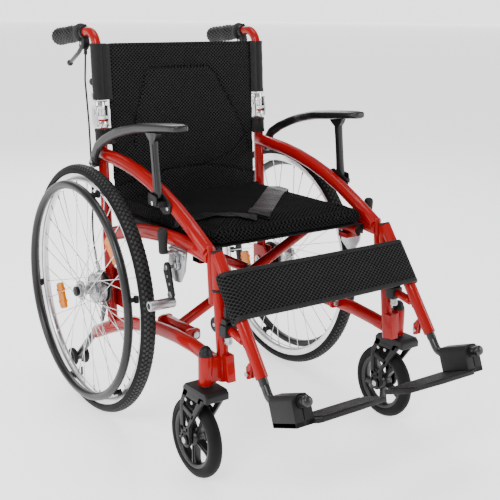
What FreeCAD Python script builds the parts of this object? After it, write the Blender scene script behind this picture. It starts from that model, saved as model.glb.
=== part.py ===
import FreeCAD, Part
import math
import os

# Folding manual wheelchair. Millimetres, +Z up, the chair faces -Y.
# The left side (+X) is built and mirrored for the right side (-X).
# Side-view coordinates below are written with the rear axle at Y = 0;
# everything is moved by YOFF on export so the overall box is centred.

V = FreeCAD.Vector
YOFF = 240.0

# ---- driving dimensions ------------------------------------------------
XF = 232.0            # side frame plane
POST_R = 12.5         # rear post and cane radius
LEAN = 0.066          # rear post lean, mm of Y per mm of Z
ARCH_R = 15.5         # arched armrest-level tube radius
RAIL_W, RAIL_H = 12.5, 17.0   # half width and half height of the oval rails
AXLE_Z = 305.0        # rear axle height = tyre radius
TYRE_R, TYRE_HALF = 305.0, 17.0
XW = 293.5            # rear wheel centre plane
RIM_OUT, RIM_IN, RIM_HALF = 281.5, 264.0, 12.5
HANDRIM_R, HANDRIM_T, XH = 259.0, 10.0, 326.5
AXLE_R = 6.0
SPOKES, SPOKE_R = 36, 1.2
XP, ZP = 203.0, 272.0         # cross brace lower pivots
XC_Z = 371.0                  # cross brace centre bolt height
CROSS_R = 12.0
YA, YB = -270.0, -240.0       # the two cross tubes' planes
XS, ZS, SRAIL_R = 196.0, 474.0, 11.0   # seat rails on the cross tubes
HY0, HZ0, HSL = -478.0, 393.0, 0.113   # hanger pivot axis: point and slope
CAST_X, CAST_Y = 272.0, -488.0
CW_R, CW_Y, CW_HALF = 89.0, -451.0, 14.0
QY, QZ = -658.6, 235.5        # where the leg meets the footplate spindle
AX = V(0, -0.9338, 0.3579)    # footplate spindle direction
AN = V(0, 0.3579, 0.9338)     # its upward normal
FOLD_Z = 728.0                # back fold hinge height
ARM_Y, ARM_Z, ARM_X, ARM_TILT = 25.0, 612.0, 252.0, 10.0


def postY(z):
    return 3.0 + (z - 220.0) * LEAN


def hangY(z):
    return HY0 + (z - HZ0) * HSL


def cyl(a, b, r):
    a, b = V(*a), V(*b)
    d = b - a
    return Part.makeCylinder(r, d.Length, a, d)


def box(x0, x1, y0, y1, z0, z1):
    return Part.makeBox(x1 - x0, y1 - y0, z1 - z0, V(x0, y0, z0))


def prism_x(pts, x0, x1):
    w = Part.makePolygon([V(x0, y, z) for y, z in pts + [pts[0]]])
    return Part.Face(w).extrude(V(x1 - x0, 0, 0))


def prism_y(pts, y0, y1):
    w = Part.makePolygon([V(x, y0, z) for x, z in pts + [pts[0]]])
    return Part.Face(w).extrude(V(0, y1 - y0, 0))


def route(pts, radii):
    """Straight runs joined by tangent arcs."""
    pts = [V(*p) for p in pts]
    edges, at = [], pts[0]
    for i in range(1, len(pts) - 1):
        a, c, b = pts[i - 1], pts[i], pts[i + 1]
        u, w = (a - c).normalize(), (b - c).normalize()
        ang = math.pi - u.getAngle(w)
        t = radii[i - 1] * math.tan(ang / 2)
        p, q = c + u * t, c + w * t
        m = (u + w).normalize()
        mid = c + m * (radii[i - 1] / math.cos(ang / 2) - radii[i - 1])
        if (p - at).Length > 1e-6:
            edges.append(Part.makeLine(at, p))
        edges.append(Part.Arc(p, mid, q).toShape())
        at = q
    edges.append(Part.makeLine(at, pts[-1]))
    return Part.Wire(edges)


def sweep(pts, radii, r, ellipse=None):
    w = route(pts, radii)
    p0 = V(*pts[0])
    d = (V(*pts[1]) - p0).normalize()
    if ellipse:
        # half height ellipse[1] in the YZ plane, half width ellipse[0] along X
        n = V(1, 0, 0).cross(d).normalize()
        a, b = ellipse
        e = Part.Ellipse(V(*pts[0]) + n * b, V(*pts[0]) + V(a, 0, 0), V(*pts[0]))
        prof = Part.Wire([e.toShape()])
    else:
        prof = Part.Wire([Part.makeCircle(r, p0, d)])
    return w.makePipeShell([prof], True, False)


def yz(pts, x):
    return [(x, y, z) for y, z in pts]


def ring(profile, centre, axis=V(1, 0, 0)):
    """Revolve a closed (r, x) profile about the X line through centre."""
    cx, cy, cz = centre
    w = Part.makePolygon([V(cx + x, cy, cz + r) for r, x in profile + [profile[0]]])
    return Part.Face(w).revolve(V(cx, cy, cz), axis, 360)


def fuse(*s):
    out = s[0]
    for t in s[1:]:
        out = out.fuse(t)
    return out.removeSplitter()


parts = {}


def put(name, shape):
    parts[name] = shape


def sided(name, shape):
    put(name + "_left", shape)
    put(name + "_right", shape.mirror(V(0, 0, 0), V(1, 0, 0)))


# ---- side frame --------------------------------------------------------
x = XF
rear_post = cyl((x, postY(215), 215), (x, postY(710), 710), POST_R)
arch = sweep(yz([(30, 629), (-208.3, 614.7), (-440, 487.3)], x), [800], ARCH_R)
seat_rail = sweep(yz([(8, 432), (-210, 500), (-446, 478)], x), [930], 0, (RAIL_W, RAIL_H))
low_rail = sweep(yz([(100, 152), (-197, 291.6), (-488, 251)], x), [850], 0, (RAIL_W, RAIL_H))
thin = cyl((x, -443, 502), (x, -454, 380), 8.5)
post = cyl((x, hangY(224), 224), (x, hangY(416), 416), POST_R)
pin = cyl((x, hangY(410), 410), (x, hangY(474), 474), 9.0)
web = prism_x([(-474, 384), (-452, 384), (-450, 412), (-472, 412)], x - 5, x + 5)
ring_low = cyl((x, hangY(411.5), 411.5), (x, hangY(416.0), 416.0), 14.0)
housing = cyl((CAST_X, CAST_Y, 222), (CAST_X, CAST_Y, 285), 15.5)
dome = cyl((CAST_X, CAST_Y, 285), (CAST_X, CAST_Y, 291), 14.5).fuse(
    Part.makeSphere(12.0, V(CAST_X, CAST_Y, 290)))
gusset = prism_x([(-503, 228), (-472, 228), (-472, 280), (-500, 280)], x + 4, CAST_X - 6)
channel = prism_x([(-524, 228), (-492, 228), (-490, 285), (-516, 285)], x - 12, x + 8)
axle_plate = prism_x([(-34, 250), (20, 250), (24, 345), (-22, 345), (-34, 330)], 214.0, 219.5)
axle_plate2 = prism_x([(-20, 262), (28, 262), (28, 340), (-14, 340)], 244.5, 250.0)
axle_boss = cyl((219, 0, AXLE_Z), (245, 0, AXLE_Z), 14.0)
lug_f = prism_y([(XP - 13, ZP - 13), (XP + 24, ZP - 13), (XP + 24, ZP + 10), (XP + 12, ZP + 13), (XP - 13, ZP + 13)], -340, -331)
lug_r = prism_y([(XP - 13, ZP - 13), (XP + 24, ZP - 16), (XP + 24, ZP + 6), (XP + 12, ZP + 13), (XP - 13, ZP + 13)], -221, -212)
pivot_pin = cyl((XP, -338, ZP), (XP, -214, ZP), 8.0)
saddle_f = box(182, 226, -395, -365, 450, 462.4).fuse(box(214.5, 226, -395, -365, 450, 482))
saddle_r = box(182, 226, -115, -85, 448, 462.4)
arm_dir = V(-math.cos(math.radians(ARM_TILT)), 0, math.sin(math.radians(ARM_TILT)))
P = V(ARM_X, ARM_Y, ARM_Z)
arm_pin = Part.makeCylinder(5.0, 34.0, P + arm_dir * 14, arm_dir * -1)
arm_boss = cyl((x + 6, 28, ARM_Z), (245.5, 28, ARM_Z), 11.0)
frame = fuse(rear_post, arch, seat_rail, low_rail, thin, post, pin, web, ring_low, housing,
             gusset, channel, axle_plate, axle_plate2, axle_boss, lug_f, lug_r, pivot_pin,
             saddle_f, saddle_r, arm_pin, arm_boss)
frame = frame.fuse(dome).removeSplitter()
frame = frame.cut(cyl((CAST_X, CAST_Y, 210), (CAST_X, CAST_Y, 282), 6.05))
frame = frame.cut(cyl((205, 0, AXLE_Z), (260, 0, AXLE_Z), AXLE_R))
frame = frame.cut(cyl((x, 103.4, 150.4), (x, 57, 172.2), 9.56))
sided("side_frame", frame)

# ---- back fold hinge (polished clevis on the rear post) -----------------
hy = postY(FOLD_Z)
cheek = [(postY(696) - 13, 694), (postY(696) + 13, 694), (hy + 14, 722), (hy + 12, 744), (hy - 12, 744), (hy - 14, 722)]
clevis = fuse(prism_x(cheek, x - 16.5, x - 12.8), prism_x(cheek, x + 12.8, x + 16.5),
              cyl((x, postY(690), 690), (x, postY(706), 706), 16.5))
clevis = clevis.fuse(cyl((x - 18.5, hy, FOLD_Z), (x + 18.5, hy, FOLD_Z), 5.0)).removeSplitter()
clevis = clevis.cut(cyl((x, postY(660), 660), (x, postY(710), 710), POST_R))
sided("back_hinge", clevis)

# ---- upper cane, grip, back release lever, brake lever -------------------
collar = cyl((x, postY(718), 718), (x, postY(754), 754), 12.4)
ears = fuse(prism_x([(50, 757), (66, 757), (66, 773), (50, 773)], x - 9, x - 6),
            prism_x([(50, 757), (66, 757), (66, 773), (50, 773)], x + 6, x + 9),
            cyl((x - 9, 60, 765), (x + 9, 60, 765), 2.5),
            prism_x([(44, 757), (51.5, 757), (51.5, 773), (44, 773)], x - 9, x + 9))
cane = sweep(yz([(postY(736), 736), (49.3, 918.4), (256, 896.4)], x), [40], 11.0)
cane = fuse(cane, collar, ears)
cane = cane.cut(cyl((x - 20, hy, FOLD_Z), (x + 20, hy, FOLD_Z), 5.05))
sided("back_cane", cane)

gd = V(0, 256 - 49.3, 896.4 - 918.4).normalize()


def on_grip(y):
    return 918.4 + (y - 49.3) * (896.4 - 918.4) / (256 - 49.3)


def gp(y):
    return (x, y, on_grip(y))


gprof = [(11.0, 124), (22, 124), (22, 129), (19.2, 133), (18.8, 150), (21.0, 175), (20.4, 200), (21.0, 225), (21.4, 245), (19.6, 258), (13, 265), (0, 266), (0, 257), (11.0, 257)]
base = V(x, 0, 0)
o = V(x, 49.3, 918.4)


def grip_pt(r, y):
    s = (y - 49.3) / gd.y
    n = V(0, -gd.z, gd.y)
    return o + gd * s + n * r


w = Part.makePolygon([grip_pt(r, y) for r, y in gprof + [gprof[0]]])
grip = Part.Face(w).revolve(o, gd, 360)

rl = fuse(cyl((x - 5.6, 60, 765), (x + 5.6, 60, 765), 5.0),
          prism_x([(56.5, 765), (63.5, 765), (72, 792), (64, 794)], x - 4, x + 4),
          prism_x([(56.5, 765), (63.5, 765), (61.5, 748), (57.5, 748)], x - 4, x + 4),
          cyl((x - 9, 69, 797), (x + 9, 69, 797), 9.0))
rl = rl.cut(cyl((x - 20, 60, 765), (x + 20, 60, 765), 2.55))
sided("back_release_lever", rl)

# brake lever: clamp band on the tube is fixed, the lever hangs under the grip
bz = on_grip(112)
blx = x
band = cyl(gp(104), gp(119), 15.0).cut(cyl(gp(95), gp(130), 11.0))
body = prism_x([(103, bz - 10), (121, bz - 12), (126, bz - 34), (108, bz - 40), (98, bz - 22)], blx - 8, blx + 8)
body = body.cut(cyl(gp(90), gp(140), 11.0))
body = body.cut(prism_x([(108, bz - 17), (140, bz - 17), (140, bz - 50), (106, bz - 50)], blx - 4.4, blx + 4.4))
clampn = fuse(band, body, cyl((blx - 8, 114, bz - 26), (blx + 8, 114, bz - 26), 2.5))
sided("handgrip", grip.fuse(clampn).cut(box(blx - 4.4, blx + 4.4, 107, 127, bz - 60, bz - 17.5)))
lev = fuse(cyl((blx - 4, 114, bz - 26), (blx + 4, 114, bz - 26), 5.0),
           prism_x([(112, bz - 22), (117, bz - 22), (150, bz - 47), (196, bz - 72), (193, bz - 79), (146, bz - 56), (112, bz - 31)], blx - 4, blx + 4),
           Part.makeSphere(8.0, V(blx, 197, bz - 77)))
lev = lev.cut(cyl((blx - 12, 114, bz - 26), (blx + 12, 114, bz - 26), 2.55))
sided("brake_lever", lev)

# ---- drum brake plate and axle -----------------------------------------
plate = cyl((254, 0, AXLE_Z), (260.5, 0, AXLE_Z), 42.0)
boss = cyl((250, 0, AXLE_Z), (254, 0, AXLE_Z), 15.0)
react = prism_x([(-14, 280), (8, 280), (30, 214), (18, 208)], 250.5, 254.0)
cable_arm = prism_x([(18, 332), (30, 326), (46, 356), (36, 362)], 251.0, 254.0)
axle = cyl((210, 0, AXLE_Z), (331, 0, AXLE_Z), AXLE_R)
nut = cyl((207, 0, AXLE_Z), (214, 0, AXLE_Z), 11.0)
cap = cyl((327, 0, AXLE_Z), (334, 0, AXLE_Z), 12.0)
drum = fuse(plate, boss, react, cable_arm, axle, nut, cap)
sided("drum_brake", drum)

# ---- rear wheel ---------------------------------------------------------
C = (XW, 0, AXLE_Z)
tyre_c = 288.0
tp = []
for i in range(25):
    a = math.radians(-115 + 230.0 * i / 24)
    tp.append((tyre_c + TYRE_HALF * math.cos(a), TYRE_HALF * math.sin(a)))
tp = [p for p in tp if p[0] >= RIM_OUT + 0.2]
tp = [(RIM_OUT, -11.5)] + tp + [(RIM_OUT, 11.5)]
sided("tyre", ring(tp, C))
rp = [(RIM_OUT, -12.5), (RIM_OUT, 12.5), (RIM_IN + 8, 12.5), (RIM_IN, 7.5), (RIM_IN, -7.5), (RIM_IN + 8, -12.5)]
sided("rim", ring(rp, C))
hr = Part.makeTorus(HANDRIM_R, HANDRIM_T, V(XH, 0, AXLE_Z), V(1, 0, 0))
stand = []
for i in range(6):
    a = math.radians(20 + 60 * i)
    s = box(RIM_HALF + XW, XH - 4, -9, 9, HANDRIM_R + 3.5, HANDRIM_R + 18.5)
    s.rotate(V(0, 0, 0), V(1, 0, 0), math.degrees(a))
    s.translate(V(0, 0, AXLE_Z))
    stand.append(s)
sided("handrim", fuse(hr, *stand))

hub = fuse(cyl((266, 0, AXLE_Z), (326, 0, AXLE_Z), 16.0),
           cyl((261, 0, AXLE_Z), (281, 0, AXLE_Z), 38.0),
           cyl((281, 0, AXLE_Z), (284, 0, AXLE_Z), 34.0),
           cyl((315, 0, AXLE_Z), (318, 0, AXLE_Z), 25.0))
sp = []
for i in range(SPOKES):
    inner = i % 2 == 0
    r0, xf = (31.0, 282.5) if inner else (22.0, 316.5)
    a = 2 * math.pi * i / SPOKES
    lead = math.radians(62) * (1 if (i // 2) % 2 == 0 else -1)
    a0 = a + lead
    p = (xf, r0 * math.sin(a0), AXLE_Z + r0 * math.cos(a0))
    xr = XW - 3.0 if inner else XW + 3.0
    q = (xr, (RIM_IN + 2) * math.sin(a), AXLE_Z + (RIM_IN + 2) * math.cos(a))
    sp.append(cyl(p, q, SPOKE_R))
refl = []
for a in (45, 250):
    b = box(XW - 3, XW + 3, -33, 33, 160, 196)
    b.rotate(V(0, 0, 0), V(1, 0, 0), a)
    b.translate(V(0, 0, AXLE_Z))
    refl.append(b)
hub = hub.cut(cyl((250, 0, AXLE_Z), (340, 0, AXLE_Z), AXLE_R + 0.05))
wheel_core = hub.multiFuse(sp + refl)
sided("hub_spokes", wheel_core)

# ---- brake cable --------------------------------------------------------
cab = sweep([(x + 3, 112, bz - 44), (x + 9, 96, 800), (x + 9, 83, 700), (x + 9, 75, 560), (x + 18, 64, 420), (x + 20.5, 43, 362)],
            [60, 150, 250, 60], 2.2)
sided("brake_cable", cab)

# ---- casters ------------------------------------------------------------
cx, cy = CAST_X, CAST_Y
crown = prism_x([(cy - 46, 198), (cy - 46, 212), (cy - 38, 219.6), (cy + 36, 219.6), (cy + 46, 210), (cy + 46, 198)], cx - 28, cx + 28)
armp = [(cy - 40, 212), (cy + 40, 212), (cy + 58, 170), (cy + 58, 128), (CW_Y + 17, 84), (CW_Y + 8, 72), (CW_Y - 8, 72), (CW_Y - 17, 86), (CW_Y - 12, 128), (cy + 6, 150), (cy - 22, 184)]
arm1 = prism_x(armp, cx - 28, cx - 21)
arm2 = prism_x(armp, cx + 21, cx + 28)
win = prism_x([(cy - 2, 190), (cy + 30, 190), (cy + 44, 160), (cy + 34, 150), (cy + 16, 160)], cx - 40, cx + 40)
stem = cyl((cx, cy, 215), (cx, cy, 279), 6.0)
waxle = cyl((cx - 31, CW_Y, CW_R), (cx + 31, CW_Y, CW_R), 5.0)
fork = fuse(crown, arm1, arm2, stem, waxle).cut(win)
sided("caster_fork", fork)
cwp = [(5.05, -17), (12, -17), (14, -9), (20, -7), (60, -7), (64, -12), (74, -14), (82, -13), (87.5, -7.5), (89, 0), (87.5, 7.5), (82, 13), (74, 14), (64, 12), (60, 7), (20, 7), (14, 9), (12, 17), (5.05, 17)]
cw = ring(cwp, (cx, CW_Y, CW_R))
for i in range(5):
    a = 72 * i
    h = prism_x([(-7, 24), (7, 24), (19, 54), (-19, 54)], cx - 20, cx + 20)
    h.rotate(V(cx, 0, 0), V(1, 0, 0), a)
    h.translate(V(0, CW_Y, CW_R))
    cw = cw.cut(h)
sided("caster_wheel", cw)

# ---- footrest hanger ----------------------------------------------------
dd = V(0, -630 + 470, 274 - 490).normalize()   # down the diagonal
ptube = cyl((x, hangY(416.4), 416.4), (x, hangY(492), 492), POST_R)
diag = cyl((x, -470, 490), (x, -630, 274), 13.0)
web2 = prism_x([(hangY(486) - 4, 486), (hangY(420) - 8, 422), (-520, 420)], x - 4, x + 4)
jy, jz = -566.0, 360.0 - 0.0
stay = cyl((x, -566, 332), (x, -518, 341), 9.5)
block = box(x - 15, x + 15, -523, -498.6, 326, 352)
lug = prism_x([(-600, 268), (-584, 262), (-588, 288), (-604, 300)], x - 4, x + 4)
plung = cyl((x, -512, 308.5), (x, -512, 327), 8.0)
hang = fuse(ptube, diag, web2, stay, block, lug, plung)
hang = hang.cut(cyl((x, hangY(405), 405), (x, hangY(475.5), 475.5), 9.05))
d0 = V(x, -630, 274) - dd * 150
hang = hang.cut(Part.makeCylinder(10.05, 160, d0, dd))
hang = hang.cut(cyl((x - 20, -511, 356), (x + 20, -511, 356), 9.0))
lat_ears = fuse(box(x - 12, x - 8.4, -520, -502, 345, 364), box(x + 8.4, x + 12, -520, -502, 345, 364),
                cyl((x - 12, -511, 358), (x + 12, -511, 358), 2.5))
hang = hang.fuse(lat_ears).removeSplitter()
sided("footrest_hanger", hang)
latch = fuse(cyl((x - 8, -511, 358), (x + 8, -511, 358), 6.0),
             prism_x([(-515, 358), (-507, 358), (-505, 388), (-512, 390)], x - 7, x + 7))
latch = latch.cut(cyl((x - 20, -511, 358), (x + 20, -511, 358), 2.55))
sided("hanger_latch", latch)

# ---- leg tube with the footplate spindle --------------------------------
Q = V(x, QY, QZ)
top = V(x, -630, 274) - dd * 90
end = Q + AX * 118
leg = sweep([tuple(top), tuple(Q), tuple(end)], [22], 9.0)
leg = fuse(leg, Part.makeCylinder(10.0, (V(x, -630, 274) - top).Length + 14, top, dd),
           Part.makeCylinder(11.0, 14, Q + AX * 112, AX))
sided("footrest_leg", leg)


def local(s, dx, n):
    return Q + AX * s + V(dx, 0, 0) + AN * n


def local_prism(pts, s0, s1):
    w = Part.makePolygon([local(s0, dx, n) for dx, n in pts + [pts[0]]])
    return Part.Face(w).extrude(AX * (s1 - s0))


def local_plate(pts, n0, n1):
    w = Part.makePolygon([local(s, dx, n0) for s, dx in pts + [pts[0]]])
    return Part.Face(w).extrude(AN * (n1 - n0))


bush = Part.makeCylinder(12.5, 80, Q + AX * 22, AX).cut(Part.makeCylinder(9.05, 110, Q + AX * 15, AX))
sided("footplate_bush", bush)
fhouse = local_prism([(-22, -46), (22, -46), (22, 8), (16, 15), (-16, 15), (-22, 8)], 23, 100)
fplate = local_plate([(23, -20), (20, -120), (26, -200), (34, -207), (96, -207), (106, -200), (116, -120), (118, -20)], -46, -35)
fhouse = fhouse.fuse(fplate).removeSplitter().cut(Part.makeCylinder(12.55, 130, Q + AX * 10, AX))
sided("footplate", fhouse)

# ---- armrest ------------------------------------------------------------
pad = prism_x([(-190, 725), (-200, 727), (-242, 732), (-300, 738), (-350, 740), (-359, 734), (-357, 724), (-300, 714), (-240, 708), (-190, 700)], 223, 265)
neck = prism_x([(-122, 709.5), (-190, 725), (-190, 700), (-122, 688.5)], 236, 265).fuse(
    prism_x([(-40, 680), (-123, 709.3), (-123, 688.7), (-50, 662)], 250, 265))
rear = prism_x([(-40, 680), (20, 660), (38, 648), (40, 602), (30, 596), (16, 600), (14, 628), (0, 640), (-50, 662)], 250.5, 263)
strut = prism_x([(-276, 716), (-250, 716), (-268, 574), (-292, 574)], 252, 266)
arm = fuse(pad, neck, rear, strut)
arm = arm.cut(Part.makeCylinder(5.05, 60, P + arm_dir * 30, arm_dir * -1))
sided("armrest", arm)
sock = fuse(box(247.5, 251.5, -315, -250, 545, 590),
            box(247.5, 270, -300, -262, 560, 571),
            box(269.5, 273, -296, -266, 560, 584),
            box(247.5, 273, -265.5, -261, 560, 584))
sock = sock.cut(arch)
sided("armrest_socket", sock)

# ---- wheel lock ---------------------------------------------------------
LP, SP = (-345.0, 440.0), (-318.0, 430.0)
br = prism_x([(-378, 478), (-312, 478), (-304, 440), (-306, 418), (-330, 400), (-352, 402), (-370, 430)], 244.5, 249.5)
br = fuse(br, cyl((249, LP[0], LP[1]), (257.2, LP[0], LP[1]), 4.0), cyl((249, SP[0], SP[1]), (264, SP[0], SP[1]), 4.0))
br = br.cut(seat_rail)
sided("lock_bracket", br)
ll = fuse(cyl((250.2, LP[0], LP[1]), (256, LP[0], LP[1]), 11.0),
          prism_x([(-351, 440), (-339, 440), (-343, 470), (-355, 470)], 250.2, 256),
          prism_x([(-355, 462), (-343, 462), (-344, 486), (-356, 486)], 250.2, 290),
          cyl((288, -350, 474), (291, -350, 528), 11.0))
ll = ll.cut(cyl((240, LP[0], LP[1]), (280, LP[0], LP[1]), 4.05))
sided("lock_lever", ll)
sh = fuse(cyl((257.5, SP[0], SP[1]), (263, SP[0], SP[1]), 12.0),
          prism_x([(-330, 430), (-306, 430), (-326, 364), (-348, 356), (-352, 366)], 257.5, 263),
          cyl((257.5, -340, 358), (320, -340, 358), 11.5))
sh = sh.cut(cyl((240, SP[0], SP[1]), (280, SP[0], SP[1]), 4.05))
sided("lock_shoe", sh)

# ---- anti-tip arms ------------------------------------------------------
tip = sweep(yz([(57.3, 172.1), (110, 147.3), (214, 50)], x), [60], 9.5)
tip = fuse(tip, cyl((x - 24, 214, 50), (x + 24, 214, 50), 4.0), cyl((x - 6, 214, 50), (x + 6, 214, 50), 12.0))
sided("anti_tip_arm", tip)
wh = []
for s in (-1, 1):
    wh.append(cyl((x + s * 10, 214, 50), (x + s * 22, 214, 50), 24.0))
tw = Part.makeCompound([w_.cut(cyl((x - 40, 214, 50), (x + 40, 214, 50), 4.05)) for w_ in wh])
sided("anti_tip_wheels", tw)

# ---- cross brace --------------------------------------------------------
for name, ys, s in (("cross_tube_a", YA, 1), ("cross_tube_b", YB, -1)):
    lo = (-s * XP, ys, ZP)
    slope = (XC_Z - ZP) / XP
    xu = s * (XS - 4)
    up = (xu, ys, XC_Z + slope * abs(xu))
    t = cyl(lo, up, CROSS_R)
    sleeve = cyl((-s * XP, -330, ZP), (-s * XP, -222, ZP), 13.0)
    rail = cyl((s * XS, -420, ZS), (s * XS, -20, ZS), SRAIL_R)
    g = prism_y([(s * XS, ZS - 2), (s * XS, ZS - 12), (s * (XS - 46), XC_Z + slope * (XS - 46) - 6), (s * (XS - 46), XC_Z + slope * (XS - 46) + 4)], ys - 4, ys + 4)
    t = fuse(t, sleeve, rail, g)
    t = t.cut(cyl((-s * XP, -345, ZP), (-s * XP, -200, ZP), 8.05))
    if s > 0:
        t = fuse(t, cyl((0, -286, XC_Z), (0, -224, XC_Z), 5.0), cyl((0, -260, XC_Z), (0, -252.5, XC_Z), 10.0),
                 cyl((0, -287, XC_Z), (0, -281, XC_Z), 9.0), cyl((0, -227, XC_Z), (0, -221, XC_Z), 9.0))
    else:
        t = t.cut(cyl((0, -300, XC_Z), (0, -200, XC_Z), 5.05))
    put(name, t)

# ---- soft parts ---------------------------------------------------------
cush = box(-212, 212, -428, 4, 489.2, 530)
cush = cush.makeFillet(14, [e for e in cush.Edges])
put("seat_cushion", cush)
flaps = [box(s * 209 - 1.4, s * 209 + 1.4, -422, 0, 462.8, 488.8) for s in (-1, 1)]
put("seat_sling", fuse(box(-210.4, 210.4, -422, 0, 485.4, 488.8), *flaps))
w = Part.makePolygon([V(208, -80, 530.4), V(208, -130, 530.4), V(-50, -402, 530.4), V(-86, -367, 530.4), V(208, -80, 530.4)])
belt_l = Part.Face(w).extrude(V(0, 0, 2.8))
w = Part.makePolygon([V(-208, -240, 530.4), V(-208, -288, 530.4), V(-120, -385, 530.4), V(-66, -398, 530.4), V(-60, -376, 530.4), V(-104, -350, 530.4), V(-160, -310, 530.4), V(-208, -240, 530.4)])
belt_r = Part.Face(w).extrude(V(0, 0, 2.8))
put("lap_belt", belt_l.fuse(belt_r).removeSplitter())


def back_prism(z0, z1, hw, front, behind):
    return prism_x([(postY(z0) - front, z0), (postY(z0) + behind, z0), (postY(z1) + behind, z1), (postY(z1) - front, z1)], -hw, hw)


up = back_prism(728.6, 889, 217.0, 12, 4)
lowp = back_prism(483, 727.4, 214.0, 12, 4)
for s in (-1, 1):
    up = up.fuse(cyl((s * x, postY(757), 757), (s * x, postY(872), 872), 16.0).cut(cyl((s * x, postY(740), 740), (s * x, postY(885), 885), 12.6)).cut(
        box(s * x - 12, s * x + 12, 46, 80, 750, 776)))
    lowp = lowp.fuse(cyl((s * x, postY(650), 650), (s * x, postY(688), 688), 16.0).cut(cyl((s * x, postY(640), 640), (s * x, postY(700), 700), 12.6)))
for s in (-1, 1):
    up = up.cut(box(s * 226 - 13.7, s * 226 + 13.7, 0, 70, 720, 756.9))
put("back_panel_upper", up.removeSplitter())
lowp = lowp.fuse(back_prism(650, 688, 217.0, 12, 4))
for s in (-1, 1):
    lowp = lowp.cut(box(s * 226 - 13.7, s * 226 + 13.7, 0, 70, 688.1, 740))
put("back_panel_lower", lowp.removeSplitter())
n = V(0, -0.804, 0.595)
pts = [V(-250, -470, 490) + dd * 45 + n * 14.0, V(-250, -470, 490) + dd * 45 + n * 22.0, V(-250, -470, 490) + dd * 150 + n * 22.0, V(-250, -470, 490) + dd * 150 + n * 14.0]
strap = Part.Face(Part.makePolygon(pts + [pts[0]])).extrude(V(500, 0, 0))
put("calf_strap", strap)

os.makedirs("parts", exist_ok=True)
for name, shape in parts.items():
    s = shape.copy()
    s.translate(V(0, YOFF, 0))
    s.exportStep("parts/%s.step" % name)
    b = s.BoundBox
    print("%-24s solids %d valid %s  x %.0f..%.0f y %.0f..%.0f z %.0f..%.0f vol %.0f" % (name, len(s.Solids), s.isValid(), b.XMin, b.XMax, b.YMin, b.YMax, b.ZMin, b.ZMax, s.Volume / 1000))
print(len(parts), "nodes")
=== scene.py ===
import bpy
import bmesh
import math
import numpy as np
from mathutils import Vector, Matrix


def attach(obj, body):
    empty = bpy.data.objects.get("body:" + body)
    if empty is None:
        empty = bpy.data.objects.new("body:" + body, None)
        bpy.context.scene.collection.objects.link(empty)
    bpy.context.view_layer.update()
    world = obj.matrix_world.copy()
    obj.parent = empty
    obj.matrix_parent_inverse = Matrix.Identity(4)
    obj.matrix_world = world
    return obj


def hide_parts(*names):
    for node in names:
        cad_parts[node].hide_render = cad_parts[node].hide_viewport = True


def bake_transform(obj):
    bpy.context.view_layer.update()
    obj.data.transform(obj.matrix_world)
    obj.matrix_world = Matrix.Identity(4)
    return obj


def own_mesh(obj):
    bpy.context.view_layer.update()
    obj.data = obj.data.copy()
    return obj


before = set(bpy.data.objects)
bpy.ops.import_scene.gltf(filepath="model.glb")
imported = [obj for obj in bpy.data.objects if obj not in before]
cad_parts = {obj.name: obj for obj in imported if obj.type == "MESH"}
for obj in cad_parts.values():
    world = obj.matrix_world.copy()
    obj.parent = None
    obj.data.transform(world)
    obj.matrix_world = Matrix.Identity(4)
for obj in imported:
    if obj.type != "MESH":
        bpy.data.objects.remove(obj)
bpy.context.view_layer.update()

YO = 240.0
rng = np.random.default_rng(7)


def P(x, y, z):
    """Side-view millimetres (rear axle at Y 0) to row-frame metres."""
    return Vector((x / 1000.0, (y + YO) / 1000.0, z / 1000.0))


# ======================================================================
# camera, light, floor
# ======================================================================
cam_data = bpy.data.cameras.new("Camera")
cam = bpy.data.objects.new("Camera", cam_data)
bpy.context.scene.collection.objects.link(cam)
CAMERA_AZ, CAMERA_EL, CAMERA_ROLL = math.radians(35.59), math.radians(14.85), math.radians(0.61)
fwd = Vector((math.sin(CAMERA_AZ) * math.cos(CAMERA_EL), math.cos(CAMERA_AZ) * math.cos(CAMERA_EL), -math.sin(CAMERA_EL)))
right = Vector((math.cos(CAMERA_AZ), -math.sin(CAMERA_AZ), 0))
up = right.cross(fwd)
r2 = right * math.cos(CAMERA_ROLL) + up * math.sin(CAMERA_ROLL)
u2 = -right * math.sin(CAMERA_ROLL) + up * math.cos(CAMERA_ROLL)
mw = Matrix.Identity(4)
for i in range(3):
    mw[i][0], mw[i][1], mw[i][2] = r2[i], u2[i], -fwd[i]
pos = P(-1231, -1980, 979)
mw[0][3], mw[1][3], mw[2][3] = pos
cam.matrix_world = mw
cam_data.sensor_width = 36.0
cam_data.lens = 66.55
cam_data.clip_end = 60
bpy.context.scene.camera = cam


def area_light(name, loc, target, size, power, color=(1, 1, 1), size_y=None):
    d = bpy.data.lights.new(name, "AREA")
    d.energy, d.size, d.color = power, size, color
    if size_y:
        d.shape, d.size_y = "RECTANGLE", size_y
    o = bpy.data.objects.new(name, d)
    bpy.context.scene.collection.objects.link(o)
    o.location = loc
    o.rotation_euler = (Vector(target) - Vector(loc)).to_track_quat("-Z", "Y").to_euler()
    return o


area_light("Key", (-2.6, -2.2, 3.2), (0, 0, 0.4), 1.6, 120)
area_light("Top", (0.2, 0.2, 3.6), (0, 0, 0.3), 1.6, 45)
area_light("Fill", (2.8, -2.6, 1.6), (0, 0, 0.4), 1.2, 45)
area_light("Back", (1.2, 3.2, 2.4), (0, 0, 0.5), 2.0, 60)
area_light("Side", (-3.4, 0.8, 1.4), (0, 0, 0.5), 1.4, 45)
world = bpy.data.worlds.new("World")
bpy.context.scene.world = world
world.use_nodes = True
bg = world.node_tree.nodes["Background"]
bg.inputs[0].default_value = (1, 1, 1, 1)
bg.inputs[1].default_value = 0.6

# ======================================================================
# materials
# ======================================================================


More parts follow.
